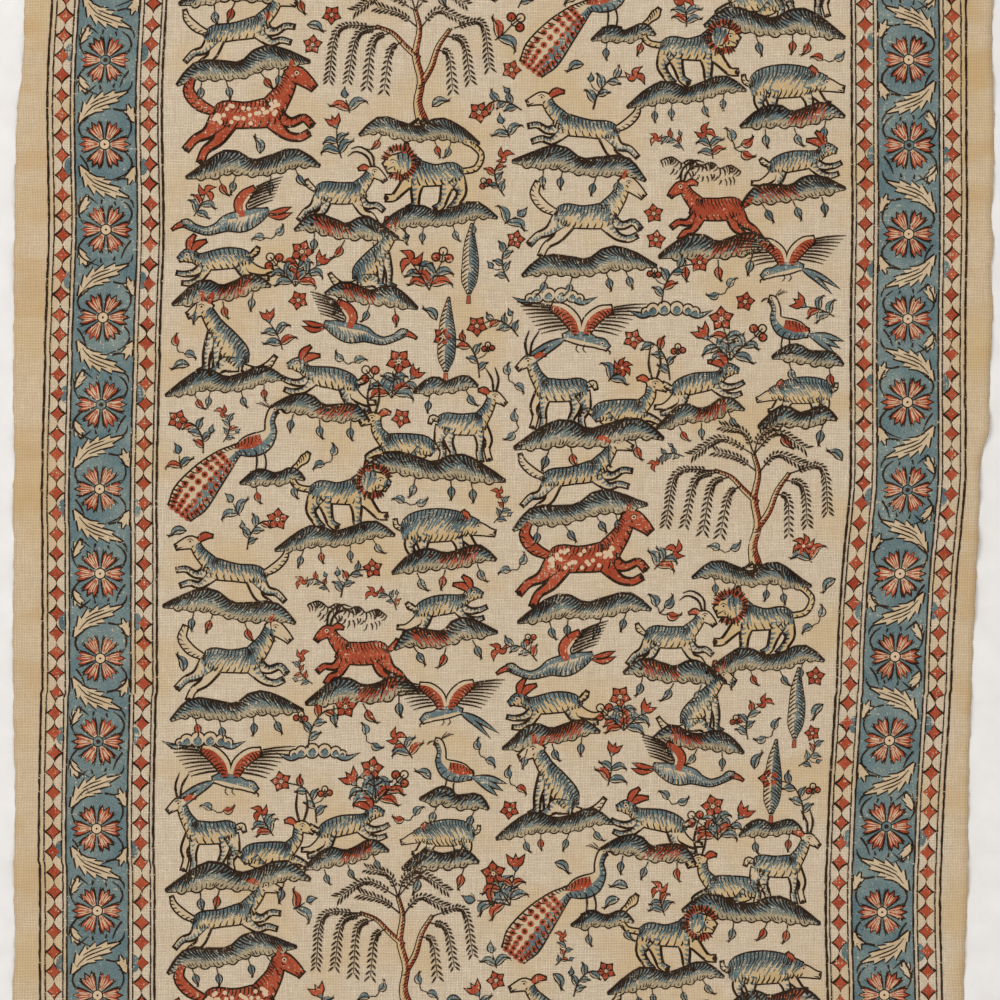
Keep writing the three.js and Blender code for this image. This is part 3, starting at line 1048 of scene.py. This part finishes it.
SITTING_HOUND = {
    "limbs": [
        [(-12, 4, 8), (-10, 9, 13), (-4, 17, 11.5), (2, 24, 9)],
        [(1, 23, 8), (4.6, 29, 7), (7, 33, 6)],
        [(5, 33, 6), (9, 34.5, 7.5), (14, 32, 5), (17, 30.5, 2.6)],
        [(3, 20, 6), (6, 10, 3.6), (6.5, 2, 2.6), (10, -0.5, 2.6)],
        [(0, 18, 6), (1, 9, 3.6), (1, 1, 2.6), (4, -1.5, 2.6)],
        [(-11, 4, 7), (-4, 4, 8), (0, 1, 4), (4, -0.5, 2.2)],
        [(-14, 2, 3), (-21, 0, 3.6), (-27, 3, 3), (-31, 8, 1.2)],
    ],
    "ears": [
        [(6, 37, 1.8), (4.5, 41, 3.2), (4, 43.6, 0.8)], [(9, 38, 1.8), (9.6, 42, 2.8), (10.4, 44, 0.8)],
    ],
    "eye": (9.8, 35.2),
}
HORSE = {
    "limbs": [
        [(-20, 20, 6), (-15, 21, 13), (-4, 20, 12.5), (8, 21, 14), (13, 24, 10)],
        [(11, 24, 12), (17, 32, 8.5), (20, 39, 6.5)],
        [(18.5, 39, 6), (23, 40, 8), (29, 35.5, 5.5), (32, 32.5, 3.4)],
        [(11, 19, 8), (19, 15, 4), (26, 17, 3), (30, 13, 2.8)],
        [(9, 17, 8), (16, 9, 4), (23, 7, 3), (28, 9, 2.6)],
        [(-17, 19, 11), (-24, 12, 5.4), (-31, 9, 3.2), (-36, 4, 3)],
        [(-14, 17, 11), (-19, 8, 5.4), (-26, 3, 3.2), (-29, -3, 3)],
        [(-21, 23, 3), (-28, 27, 5), (-33, 34, 4.5), (-31, 41, 2.5)],
    ],
    "ears": [[(20, 43, 1.5), (21, 46.5, 2.4), (22.4, 48.5, 0.6)]],
    "eye": (23.4, 40.6),
}
LION = {
    "limbs": [
        [(-17, 17, 6), (-12, 18, 11), (-3, 17, 10.5), (6, 18, 13), (11, 20, 12)],
        [(10, 20, 14), (14, 23, 13), (18, 24, 9)],
        [(15, 24, 9), (20, 23, 9), (24, 21, 5)],
        [(-14, 15, 9), (-17, 8, 4.6), (-14, 2, 3), (-11, -1.4, 3)],
        [(-10, 14, 8), (-8, 7, 4.4), (-6, 1, 3), (-2.6, -1.4, 3)],
        [(7, 14, 7), (8, 7, 4.2), (8.4, 1, 3), (12, -1.4, 3)],
        [(11, 15, 7), (16, 9, 4.2), (20, 5, 3), (24, 4.6, 3)],
        [(-17, 19, 2), (-25, 21, 2), (-28, 28, 2), (-24, 33, 2), (-21, 36, 4), (-19, 39, 1)],
    ],
    "ears": [[(14, 29, 2.0), (13, 32, 3.0), (12.6, 34, 0.8)]],
    "eye": (20.2, 24.2),
}
BOAR = {
    "limbs": [
        [(-24, 10, 8), (-18, 13, 17), (-6, 14, 19), (6, 13, 17), (13, 12, 12)],
        [(9, 12, 13), (15, 12, 11), (19, 11, 8)],
        [(17, 11, 8), (22, 9.6, 6.5), (27, 7.6, 4), (30, 6.8, 3)],
        [(-18, 9, 10), (-21, 3, 5), (-19, -2, 3.4), (-16, -3, 3)],
        [(-13, 8, 9), (-13, 1, 4.6), (-12, -3, 3.2), (-9, -4, 3)],
        [(7, 8, 8), (9, 1, 4.4), (9, -3, 3.2), (12, -4, 3)],
        [(11, 8, 7), (15, 3, 4.2), (18, -1, 3.2), (21, -2, 3)],
        [(-25, 13, 1.6), (-28.5, 15.5, 1.8), (-29, 19, 1.2)],
    ],
    "ears": [[(15, 16, 1.6), (13, 19, 3.2), (11.6, 21.4, 0.8)]],
    "eye": (20.4, 11.8),
}
GOAT = {
    "limbs": [
        [(-17, 14, 6), (-12, 15.4, 12), (-3, 14.6, 12.5), (7, 15, 12), (12, 17, 9)],
        [(10, 18, 9), (14.6, 23, 6.4), (17, 27, 5)],
        [(15.4, 28, 4.6), (19.6, 28, 6.4), (24, 25, 4.0), (26, 22.6, 2.4)],
        [(-14, 12, 9), (-19, 6, 4.6), (-24, 3, 2.8), (-28, -2, 2.4)],
        [(-11, 12, 8), (-13, 4, 4.2), (-18, 0, 2.6), (-20, -5, 2.4)],
        [(9, 12, 7), (15, 7, 3.6), (21, 7, 2.6), (25, 4, 2.2)],
        [(8, 11, 6), (12, 3, 3.6), (17, 1, 2.6), (20, -3, 2.2)],
        [(-18, 17, 1.5), (-21.6, 20, 2.8), (-23, 23, 1)],
    ],
    "ears": [[(16, 30, 1.4), (13, 31, 3.0), (10, 30, 0.8)]],
    "horns": [[(18, 31), (15, 38), (8, 41), (3, 38)], [(19.6, 31), (18.4, 39), (11, 44), (5, 42.6)]],
    "eye": (19.8, 28.4),
}


# A creature's combs of dark strokes: which limb, then the reach, pitch, side, lean and width of hatching
DARK_COMBS = [
    (0, 0.4, 1.5, 1, 0.45, 0.62), (0, 0.24, 2.4, -1, -0.5, 0.75), (1, 0.34, 1.6, 1, 0.4, 0.6),
    (1, 0.22, 2.6, -1, -0.4, 0.7), (3, 0.3, 2.2, 1, 0.4, 0.7), (-1, 0.4, 2.2, 1, 0.8, 0.6),
]
SPOT_COUNT = 34


def eye_spot(place, bright, dark):
    """An eye: a bare spot with a dark one in it, of two radii."""
    return [("bare_lines", disc(place, bright, 7)), ("dark_dots", disc(place, dark, 5))]


def creature(form, fill="bare_shapes", back="blue_fill", ear="red_fill", spots=False):
    """A creature's block: the rims of all its limbs, then their insides, which join them, then a wash
    and a comb of strokes along its back and haunches, its ears, horns and eye."""
    limbs = form["limbs"]
    shapes = [shape for table in limbs for shape in rimmed_limb(table, fill)]
    if fill == "bare_shapes":
        shapes += [("tan_fill", hatching(table, 0.6, 1.6, -1, 0.2, 1.7)) for table in limbs[:2]]
    shapes += [(back, shading(table, 0.26)) for table in limbs[:2]]
    shapes += [(back, hatching(table, 0.66, 1.5, 1, 0.35, 1.5)) for table in limbs[:2]]
    shapes += [(back, hatching(table, 0.5, 1.8, 1, 0.4, 1.3)) for table in limbs[3:6]]
    shapes += [("dark_lines", hatching(limbs[number], *comb)) for number, *comb in DARK_COMBS]
    for table in limbs[3:7]:
        rear = edge_of(table, 14, 1, 0.04)[0]
        fore = edge_of(table, 14, -1, 0.04)[0]
        shapes += [("dark_lines", ribbon(rear[:9], np.linspace(0.4, 1.0, 9)))]
        shapes += [("dark_lines", ribbon(fore[2:9], np.linspace(0.3, 0.9, 7)))]
        hoof = np.asarray(table, float)[-1, :2]
        shapes += [("dark_lines", disc(hoof, table[-1][2] * 0.5, 5))]
    for table in form["ears"]:
        shapes += rimmed_limb(table, ear)
    shapes += [("dark_lines", stroke(horn, 1.5, 9, (0.9, 0.3))) for horn in form.get("horns", [])]
    if spots:
        line, _, _, thick = edge_of(limbs[0], SPOT_COUNT, 1, 0.5)
        scatter = random.uniform(-0.36, 0.36, SPOT_COUNT)[:, None] * thick * (0.3, 1.0)
        shapes += [("bare_lines", disc(place, 1.15, 7)) for place in line + scatter]
    eye = form["eye"]
    snout = np.asarray(limbs[2], float)[-2:, :2]
    mouth = snout - (0.6, 1.0)
    lid = np.array([(-1.8, 0.6), (0, 1.5), (1.9, 0.8)]) + eye
    shapes += [("dark_lines", stroke(mouth, 0.7, 4, (0.2, 1.0)))]
    shapes += [("dark_lines", disc(snout[1] + (0, 0.5), 0.9, 5)), ("dark_lines", stroke(lid, 0.6, 5))]
    return shapes + eye_spot(eye, 1.2, 0.65)


def mane(middle, near, far, count=26):
    """A ring of short dark and red strokes round a lion's head."""
    angles = np.linspace(0.2, 2 * np.pi - 0.9, count) + random.normal(0, 0.04, count)
    return [
        ("dark_lines", rays(near, far, angles, 1.1) + middle),
        ("red_fill", rays(near, far * 0.92, angles[:-1] + np.diff(angles) / 2, 1.6) + middle),
    ]


def feathers(root, tips_from, tips_to, count, width):
    """Flight feathers: strokes from places along a wing's edge to places along the line of its tips."""
    share = np.linspace(0, 1, count)[:, None]
    roots = smooth(root, count)
    tips = np.asarray(tips_from) * (1 - share) + np.asarray(tips_to) * share
    way = np.linspace(0, 1, 4)[:, None]
    path = roots[:, None] * (1 - way) + tips[:, None] * way + (0, 1.0) * (way * (1 - way)) * 2
    widths = width * np.array([1.0, 1.1, 0.9, 0.4]) * random.uniform(0.8, 1.2, (count, 1))
    return [("dark_lines", ribbon(path, widths))]


def flying_bird():
    """A bird with both wings raised: blue body and long tail, red shoulders, combs of dark feathers."""
    body = [(-9, 0, 2.5), (-4, 0.5, 6.5), (3, -1, 7.2), (9, -3, 5), (13, -4, 5.4), (16, -6.2, 2.6)]
    wings = [
        [(-1, 2, 5), (-4, 9, 8), (-10, 15, 7.5), (-16, 17.5, 4)],
        [(3, 2, 5), (6, 9, 7.5), (12, 14, 7), (18, 16, 4)],
    ]
    shapes = [("blue_fill", shading(body, 0.7, 1))]
    for table in (body, *wings):
        shapes += rimmed_limb(table, "bare_shapes")
    for wing, side in zip(wings, (1, -1)):
        shapes += [("red_fill", shading(wing, 0.7, side))]
        shapes += [("dark_lines", hatching(wing, 0.5, 1.9, side, 0.4))]
    shapes += feathers([(-17, 18), (-13, 12), (-7, 5)], (-36, 20), (-22, 2), 9, 1.0)
    shapes += feathers([(19, 17), (15, 11), (8, 4)], (38, 19), (22, 1), 9, 1.0)
    for tip in ((-32, -13), (-27, -16)):
        points = [(-8, -0.5), ((tip[0] - 8) / 2, tip[1] / 2 + 1), tip]
        shapes += [("dark_outlines", blade(points, 2.2, 7, 0.4, RIM))]
        shapes += [("blue_fill", blade(points, 1.9, 7, 0.4))]
    shapes += [("dark_lines", stroke([(15, -6.4), (17.4, -8.4), (17, -10)], 1.2, 5))]
    shapes += [("dark_lines", stroke([(x, -4), (x - 1, -7), (x + 1, -9)], 0.8, 5)) for x in (-1, 3)]
    return shapes + eye_spot((13, -3.6), 1.1, 0.6)


def goose():
    """A flying goose: a long blue neck stretched forward, a red comb wing, red beak and red feet."""
    body = [
        (-18, 3, 2.5), (-11, 1, 8.5), (-2, -1, 12), (7, -1, 9), (13, -3, 5.4), (20, -4, 3.8),
        (27, -1, 3.4), (31, 2, 4.6), (33.6, 2.4, 3),
    ]
    wing = [(-3, 2, 5), (-2, 9, 6.4), (-6, 14, 6), (-12, 17, 3.4)]
    beak = [(34, 2.2, 2.4), (37, 1.4, 1.8), (40, 0, 0.5)]
    shapes = rimmed_limb(body, "bare_shapes")
    shapes += [("blue_fill", hatching(body, 0.6, 1.4, -1, 0.4, 1.4)), ("blue_fill", shading(body, 0.3))]
    shapes += [("dark_lines", hatching(body, 0.3, 2.0, -1, 0.4, 0.7))]
    shapes += rimmed_limb(wing, "bare_shapes")
    shapes += [("red_fill", shading(wing, 0.75, -1))]
    shapes += rimmed_limb(beak, "red_fill")
    shapes += feathers([(-13, 18), (-8, 12), (-6, 5)], (-30, 22), (-22, 9), 8, 1.1)
    for drop in (0.0, -3.4):
        points = [(-17, 2 + drop / 2), (-24, 1.6 + drop), (-31, 3 + drop)]
        shapes += rimmed_blade(points, 2.2, 7, 0.6, "red_fill")
    return shapes + eye_spot((31, 3), 1.0, 0.55)


def standing_bird(tail_spots=False):
    """A bird on its feet: a blue body with a red wing, a raised head with a crest, and a tail that
    sweeps down, with rows of ringed spots where it is a long one."""
    body = [(-12, 10, 3), (-6, 12, 10), (2, 14, 11), (7, 19, 6), (7, 25, 4), (9, 30, 4.2), (11, 31, 3.2)]
    wing = [(-12, 12, 1.5), (-5, 14, 6.4), (2, 16, 5)]
    shapes = rimmed_limb(body, "bare_shapes") + rimmed_limb(wing, "red_fill")
    shapes += [("blue_fill", shading(body, 0.5, -1))]
    shapes += [("dark_lines", hatching(body, 0.3, 2.0, -1, 0.3, 0.6))]
    shapes += [("dark_lines", hatching(wing, 0.6, 1.8, 1, 0.5, 0.6))]
    legs = [[(-1, 9), (-1, 3), (-2, -2)], [(3, 9), (4, 3), (3, -2)]]
    toes = [[(-5, -2), (-2, -1.4), (1, -2.4)], [(1, -2), (3, -1.4), (6.4, -2.4)]]
    shapes += [("dark_lines", stroke(line, 1.0, 6, (1.0, 0.8))) for line in legs + toes]
    shapes += [("dark_lines", stroke([(12, 31.4), (14.6, 30.6), (16, 29)], 1.3, 5))]
    for plume in range(3):
        crest = [(8, 32), (6 - 2 * plume, 35), (4 - 2 * plume, 37 - plume)]
        shapes += [("dark_lines", stroke(crest, 0.6, 5))]
    shapes += eye_spot((10, 31.4), 1.0, 0.55)
    if not tail_spots:
        for tip in ((-30, 2), (-32, 6), (-27, -1)):
            points = [(-11, 10), ((tip[0] - 11) / 2, tip[1] / 2 + 6), tip]
            shapes += [("dark_outlines", blade(points, 2.4, 7, 0.6, RIM))]
            shapes += [("blue_fill", blade(points, 2.2, 7, 0.6))]
        return shapes
    tail = [(-11, 11, 5), (-18, 6, 11), (-28, -3, 17), (-38, -14, 20), (-44, -21, 14)]
    shapes += rimmed_limb(tail, "bare_shapes")
    shapes += [("blue_fill", shading(tail, 0.4, 1))]
    for depth in (0.12, 0.36, 0.62, 0.86):
        places, _, _, _ = edge_of(tail, 13, 1, depth)
        for place in places[3:]:
            shapes += [("red_fill", disc(place, 1.8, 7)), ("dark_lines", disc(place, 0.8, 5))]
    return shapes + [("dark_lines", hatching(tail, 0.2, 2.4, side, 0.5)) for side in (1, -1)]


# The field: two large carved blocks, A and B, printed by turns like the squares of a chessboard. Each
# row says what a block prints, where from its middle, how far turned, how large and whether mirrored.
FIELD_BLOCK = (205.0, 266.0)
FIELD_BLOCKS = ("AB", "BA", "AB")
MOTIFS = {
    "hare": lambda: creature(HARE),
    "tan hare": lambda: creature(HARE, "tan_fill"),
    "deer": lambda: creature(DEER),
    "resting deer": lambda: creature(RESTING_DEER, "tan_fill"),
    "hound": lambda: creature(HOUND),
    "boar": lambda: creature(BOAR),
    "goat": lambda: creature(GOAT),
    "red goat": lambda: creature(GOAT, "red_fill", "red_fill"),
    "sitting hound": lambda: creature(SITTING_HOUND),
    "horse": lambda: creature(HORSE, "red_fill", "red_fill", "red_fill", True),
    "pale horse": lambda: creature(HORSE),
    "lion": lambda: creature(LION, "tan_fill") + mane((16.5, 24), 6.4, 10.5),
    "flying bird": flying_bird,
    "bird": standing_bird,
    "long-tailed bird": lambda: standing_bird(True),
    "weeping tree": weeping_tree,
    "cypress": cypress,
    "cloud": cloud,
    "turf": turf,
    "short mound": lambda: mound(42, 10.0, 2.4, 2),
    "mound": lambda: mound(62, 12.0, 3.4, 3, True),
    "long mound": lambda: mound(84, 13.5, 4.6, 4),
    "goose": goose,
    "bush": lambda: bush([tulip, five_petals, berries]),
    "spray": lambda: spray(30, (five_petals, berries)),
}
FIELD_PLAN = {
    "A": [
        ("flying bird", -58, 112, 0, 1.05, 1), ("cloud", -4, 126, 0, 1.0, 1),
        ("bird", 78, 104, 0, 1.0, -1), ("short mound", 80, 99, -8, 1.0, 1), ("bush", 32, 98, 0, 1.0, 1),
        ("spray", -4, 86, 0, 0.9, -1), ("deer", -70, 60, 0, 1.05, -1),
        ("resting deer", -30, 60, 0, 1.0, 1), ("long mound", -52, 51, 4, 1.05, 1),
        ("hare", 16, 75, 10, 1.0, 1), ("mound", 14, 65, 12, 0.85, 1), ("hound", -56, 16, 8, 1.05, 1),
        ("long mound", -56, 6, 11, 0.95, -1), ("weeping tree", 48, -25, 0, 0.95, 1),
        ("long mound", 50, -33, -4, 0.85, -1), ("horse", -48, -44, 3, 1.15, 1),
        ("long mound", -50, -53, 5, 0.95, 1), ("boar", 72, 69, 0, 0.8, -1),
        ("short mound", 72, 62, 4, 1.1, 1), ("lion", 56, -76, 0, 1.1, -1),
        ("long mound", 60, -84, 5, 0.85, 1), ("goose", -62, -84, 8, 1.0, -1),
        ("goat", 4, -82, 0, 0.95, 1), ("mound", 6, -91, -5, 1.0, -1),
        ("tan hare", -68, -118, 8, 1.05, -1), ("mound", -68, -128, 10, 0.95, 1),
        ("bush", -24, -124, 0, 0.9, -1), ("sitting hound", 26, -124, 0, 0.95, 1),
        ("mound", 22, -131, -8, 0.9, -1), ("cypress", 80, -134, 0, 0.95, 1),
    ],
    "B": [
        ("sitting hound", -68, 92, 0, 1.1, -1), ("long mound", -64, 84, 7, 0.85, 1),
        ("goose", 12, 116, -6, 0.95, 1), ("cypress", 68, 86, 0, 1.0, 1),
        ("short mound", 68, 82, 5, 0.9, 1), ("spray", 88, 88, 0, 0.9, -1), ("hare", -4, 78, -9, 1.05, -1),
        ("mound", -6, 68, -9, 0.95, 1), ("bush", 36, 76, 0, 0.9, -1),
        ("resting deer", 42, 40, 0, 1.0, -1), ("deer", 80, 41, 0, 1.0, 1),
        ("long mound", 62, 32, -5, 1.0, -1), ("long-tailed bird", -42, 34, 4, 1.1, 1),
        ("short mound", -34, 27, 4, 0.9, 1), ("lion", 8, 0, 0, 1.1, 1), ("long mound", 4, -9, 7, 0.85, 1),
        ("boar", 70, -14, 4, 1.0, 1), ("mound", 70, -23, 6, 1.0, 1), ("hound", -60, -42, -6, 1.05, -1),
        ("long mound", -60, -52, -8, 0.95, 1), ("turf", 12, -54, -8, 1.1, 1),
        ("hare", 72, -58, 7, 1.0, 1), ("mound", 72, -68, 9, 1.0, -1), ("red goat", 20, -92, 0, 1.0, -1),
        ("mound", 22, -102, 4, 1.1, 1), ("pale horse", -54, -102, 0, 1.0, 1),
        ("long mound", -54, -112, 5, 0.95, -1), ("cloud", -74, -132, 0, 1, 1),
        ("flying bird", 74, -112, 0, 0.95, -1), ("spray", -10, -134, 0, 0.9, 1),
    ],
}
FIELD_MARGIN = 3.2
field_room = np.array(FIELD_HALF) - FIELD_MARGIN

for row, blocks in enumerate(FIELD_BLOCKS):
    for column, block in enumerate(blocks):
        middle = np.array([(column - 0.5) * FIELD_BLOCK[0], (1 - row) * FIELD_BLOCK[1]])
        middle += random.normal(0, 0.6, 2)
        for motif, x, y, turn, size, flip in FIELD_PLAN[block]:
            shapes = set_block(MOTIFS[motif](), middle + (x, y), turn, size, flip)

            # A motif that would print over the border is moved in until it clears it
            places = np.concatenate([shape.reshape(-1, 2) for ink, shape in shapes])
            shift = np.maximum(-field_room - places.min(0), 0) - np.maximum(places.max(0) - field_room, 0)
            stamp(shapes, shift)

# Between the motifs the block cutters left no large gap bare: sprays, sprigs, berries and single leaves
# fill them, the largest first, each only where none of it would touch what is already there.
FILLERS = [
    (3000, 1.0, lambda: spray(30, (five_petals, berries))), (3000, 1.0, lambda: spray(26, (trefoil, bud))),
    (3000, 1.0, lambda: bush([tulip, five_petals, bud])), (3000, 1.0, lambda: bush([berries, trefoil])),
    (4000, 0.85, lambda: spray(24, (five_petals, bud))), (4000, 0.8, lambda: spray(24, (trefoil, berries))),
    (4000, 0.9, lambda: sprig(20, tulip, 0.6, 2)), (4000, 0.85, lambda: sprig(17, trefoil, -0.5, 2)),
    (4000, 1.0, lambda: sprig(13, berries, 0.4, 1)), (3000, 0.9, lambda: sprig(11, star_flower, 0.4, 1)),
    (6000, 0.7, lambda: spray(24, (five_petals, bud))), (6000, 0.6, lambda: spray(24, (trefoil, bud))),
    (5000, 1.0, lambda: loose_leaves(3)), (4000, 0.9, lambda: sprig(9, bud, 0.4, 1)),
    (4000, 0.85, lambda: loose_leaves(2)), (2000, 0.8, lambda: five_petals(0, 0, 6)),
    (1200, 1.1, lambda: leaf([(-4.2, -1.2), (0, 0.8), (4.2, -0.4)], 3.2)),
]
FILLER_TURN = 70.0
FILLER_GAP = 0.7
FILLER_MARGIN = 4
field_map = np.zeros((2 * int(FIELD_HALF[0]) + 3, 2 * int(FIELD_HALF[1]) + 3), bool)


def cells_of(shapes):
    """Places under the dark shapes of a block, close enough to find every cell of the map, 1 mm each,
    that they touch: at five shares of the way across a grid, on its rows and halfway between them."""
    share = np.linspace(0, 1, 5)[:, None, None, None, None]
    places = []
    for ink, shape in shapes:
        if ink in ("dark_outlines", "dark_lines"):
            grid = shape.reshape(-1, *shape.shape[-3:])
            across = grid[:, :, :1] * (1 - share) + grid[:, :, -1:] * share
            halfway = (across[:, :, 1:] + across[:, :, :-1]) / 2
            places += [across.reshape(-1, 2), halfway.reshape(-1, 2)]
    return np.concatenate(places)


def mark_taken(places):
    """Marks the map's cells under places, and those within the filler's gap of them."""
    for shift_x in (-FILLER_GAP, 0, FILLER_GAP):
        for shift_y in (-FILLER_GAP, 0, FILLER_GAP):
            cell = np.round(places + (shift_x, shift_y) + FIELD_HALF).astype(int)
            inside = ((cell >= 0) & (cell < field_map.shape)).all(1)
            field_map[tuple(cell[inside].T)] = True


mark_taken(cells_of([(ink, shape) for ink, shapes in printed.items() for shape in shapes]))
outer_cells = [*range(FILLER_MARGIN), *range(-FILLER_MARGIN, 0)]
field_map[outer_cells] = True
field_map[:, outer_cells] = True
for tries, size, draw in FILLERS:
    block = draw()
    own = cells_of(block) * size
    for place in random.uniform(-1, 1, (tries, 2)) * (np.array(FIELD_HALF) - FILLER_MARGIN):
        turn, flip = random.uniform(-FILLER_TURN, FILLER_TURN), random.choice([-1, 1])
        places = set_block([("", own)], place, turn, 1.0, flip)[0][1]
        cell = np.round(places + FIELD_HALF).astype(int)
        inside = ((cell >= 0) & (cell < field_map.shape)).all()
        if inside and not field_map[tuple(cell.T)].any():
            stamp(block, place, turn, size, flip)
            mark_taken(places)
            block = draw()
            own = cells_of(block) * size


# The inks' finishes. Each dye soaked in unevenly and has faded and rubbed since, so its shade drifts,
# and the high threads show through it as pale specks in both directions of the weave.
DYE_PATCH = 0.02
DYE_GRAIN = 0.0011
SPECK_LENGTH = 0.004
RUB_SOFTNESS = 0.16


def ink_finish(name, thin, full, bare_share):
    """A dye on the weave: a shade between its thin and its full colour, and bare cloth where the sum of
    the threads' noise falls below the share that the dye left bare."""
    finish = Finish(name, 0.9)
    place, cotton, height = plain_weave(finish)
    object_place = finish.node("TexCoord", {}, {}, "Object")
    drift = finish.noise(object_place, (DYE_PATCH, DYE_PATCH), 3, 0.6)
    fine = finish.noise(place, (DYE_GRAIN, DYE_GRAIN), 2, 0.7)
    shade = drift * 1.1 + fine * 1.1 - 0.6
    colour = finish.blend(thin, full, shade)
    warp_specks = finish.noise(place, (THREAD_PITCH, SPECK_LENGTH), 1)
    weft_specks = finish.noise(place, (SPECK_LENGTH, THREAD_PITCH), 1)
    rub = (warp_specks + weft_specks) * 0.5 + (drift - 0.5) * 0.25
    cover = finish.step(rub, bare_share, bare_share + RUB_SOFTNESS)
    return finish.wear(finish.blend(cotton, colour, cover), height)


# Each ink's thin and full colour, the share of threads that it left bare, and its slot
INK_FINISHES = {
    "blue_band": (dye(134, 146, 138), dye(62, 90, 101), 0.22, "blue_print"),
    "dark_outlines": (dye(62, 42, 26), dye(22, 13, 7), 0.20, "dark_print"),
    "bare_shapes": (dye(205, 186, 156), dye(186, 160, 124), 0.30, "printed_cotton"),
    "earth_fill": (dye(176, 158, 126), dye(146, 130, 102), 0.28, "printed_cotton"),
    "tan_fill": (dye(202, 176, 130), dye(182, 152, 108), 0.30, "printed_cotton"),
    "blue_fill": (dye(122, 136, 130), dye(56, 76, 86), 0.29, "blue_print"),
    "red_fill": (dye(184, 92, 60), dye(132, 44, 28), 0.25, "red_print"),
    "dark_lines": (dye(62, 43, 27), dye(20, 13, 8), 0.21, "dark_print"),
    "bare_lines": (dye(214, 190, 160), dye(198, 166, 130), 0.30, "printed_cotton"),
    "dark_dots": (dye(76, 50, 34), dye(30, 20, 12), 0.20, "dark_print"),
}
for name, (thin, full, bare_share, slot) in INK_FINISHES.items():
    ink_film(name, ink_finish(name + "_ink", thin, full, bare_share))


# The setting: a plain pale floor under soft, even light that comes mostly from the upper left, seen
# from straight above. The picture takes in 0.6 m of the floor, a little above the cloth's middle.
FLOOR_COLOUR = dye(238, 236, 234)
FLOOR_SIZE = 6.0
VIEW_CENTRE = (-1.8, 14.1)
VIEW_HEIGHT = 1.8
VIEW_WIDTH = 0.6
SENSOR_WIDTH = 36.0


def plain_floor():
    """A level square with a matt finish a little mottled like plaster."""
    finish = Finish("pale_floor", 0.9)
    finish.shader.inputs["Sheen Weight"].default_value = 0.0
    place = finish.node("TexCoord", {}, {}, "Object")
    mottle = finish.noise(place, (0.02, 0.02), 4, 0.6)
    colour = finish.blend(FLOOR_COLOUR, dye(216, 211, 208), mottle * 0.8 - 0.1)
    finish.tree.links.new(colour.socket, finish.shader.inputs["Base Color"])
    points = np.array([(-1, -1, 0), (1, -1, 0), (1, 1, 0), (-1, 1, 0)]) * FLOOR_SIZE / 2
    corners = np.arange(4)
    return mesh_piece("floor", points, corners[None], points[:, :2] / FLOOR_SIZE + 0.5, finish.material)


def soft_light(name, energy, size, place):
    """A square lamp of a size in metres that faces the middle of the cloth."""
    lamp = bpy.data.lights.new(name, "AREA")
    lamp.energy = energy
    lamp.size = size
    holder = bpy.data.objects.new(name, lamp)
    holder.location = place
    holder.rotation_euler = Vector(place).to_track_quat("Z", "Y").to_euler()
    bpy.context.scene.collection.objects.link(holder)


plain_floor()
soft_light("window_light", 43.0, 1.6, (-1.7, 1.5, 2.4))
soft_light("room_light", 18.0, 2.4, (1.6, -1.4, 2.8))
world = bpy.data.worlds.new("studio")
world.use_nodes = True
world.node_tree.nodes["Background"].inputs["Color"].default_value = (1.0, 0.985, 0.96, 1.0)
world.node_tree.nodes["Background"].inputs["Strength"].default_value = 0.66
bpy.context.scene.world = world
bpy.context.scene.view_settings.view_transform = "Standard"

lens = bpy.data.cameras.new("camera")
lens.sensor_width = SENSOR_WIDTH
lens.lens = SENSOR_WIDTH * VIEW_HEIGHT / VIEW_WIDTH
camera = bpy.data.objects.new("camera", lens)
camera.location = (VIEW_CENTRE[0] * MM, VIEW_CENTRE[1] * MM, VIEW_HEIGHT)
bpy.context.scene.collection.objects.link(camera)
bpy.context.scene.camera = camera
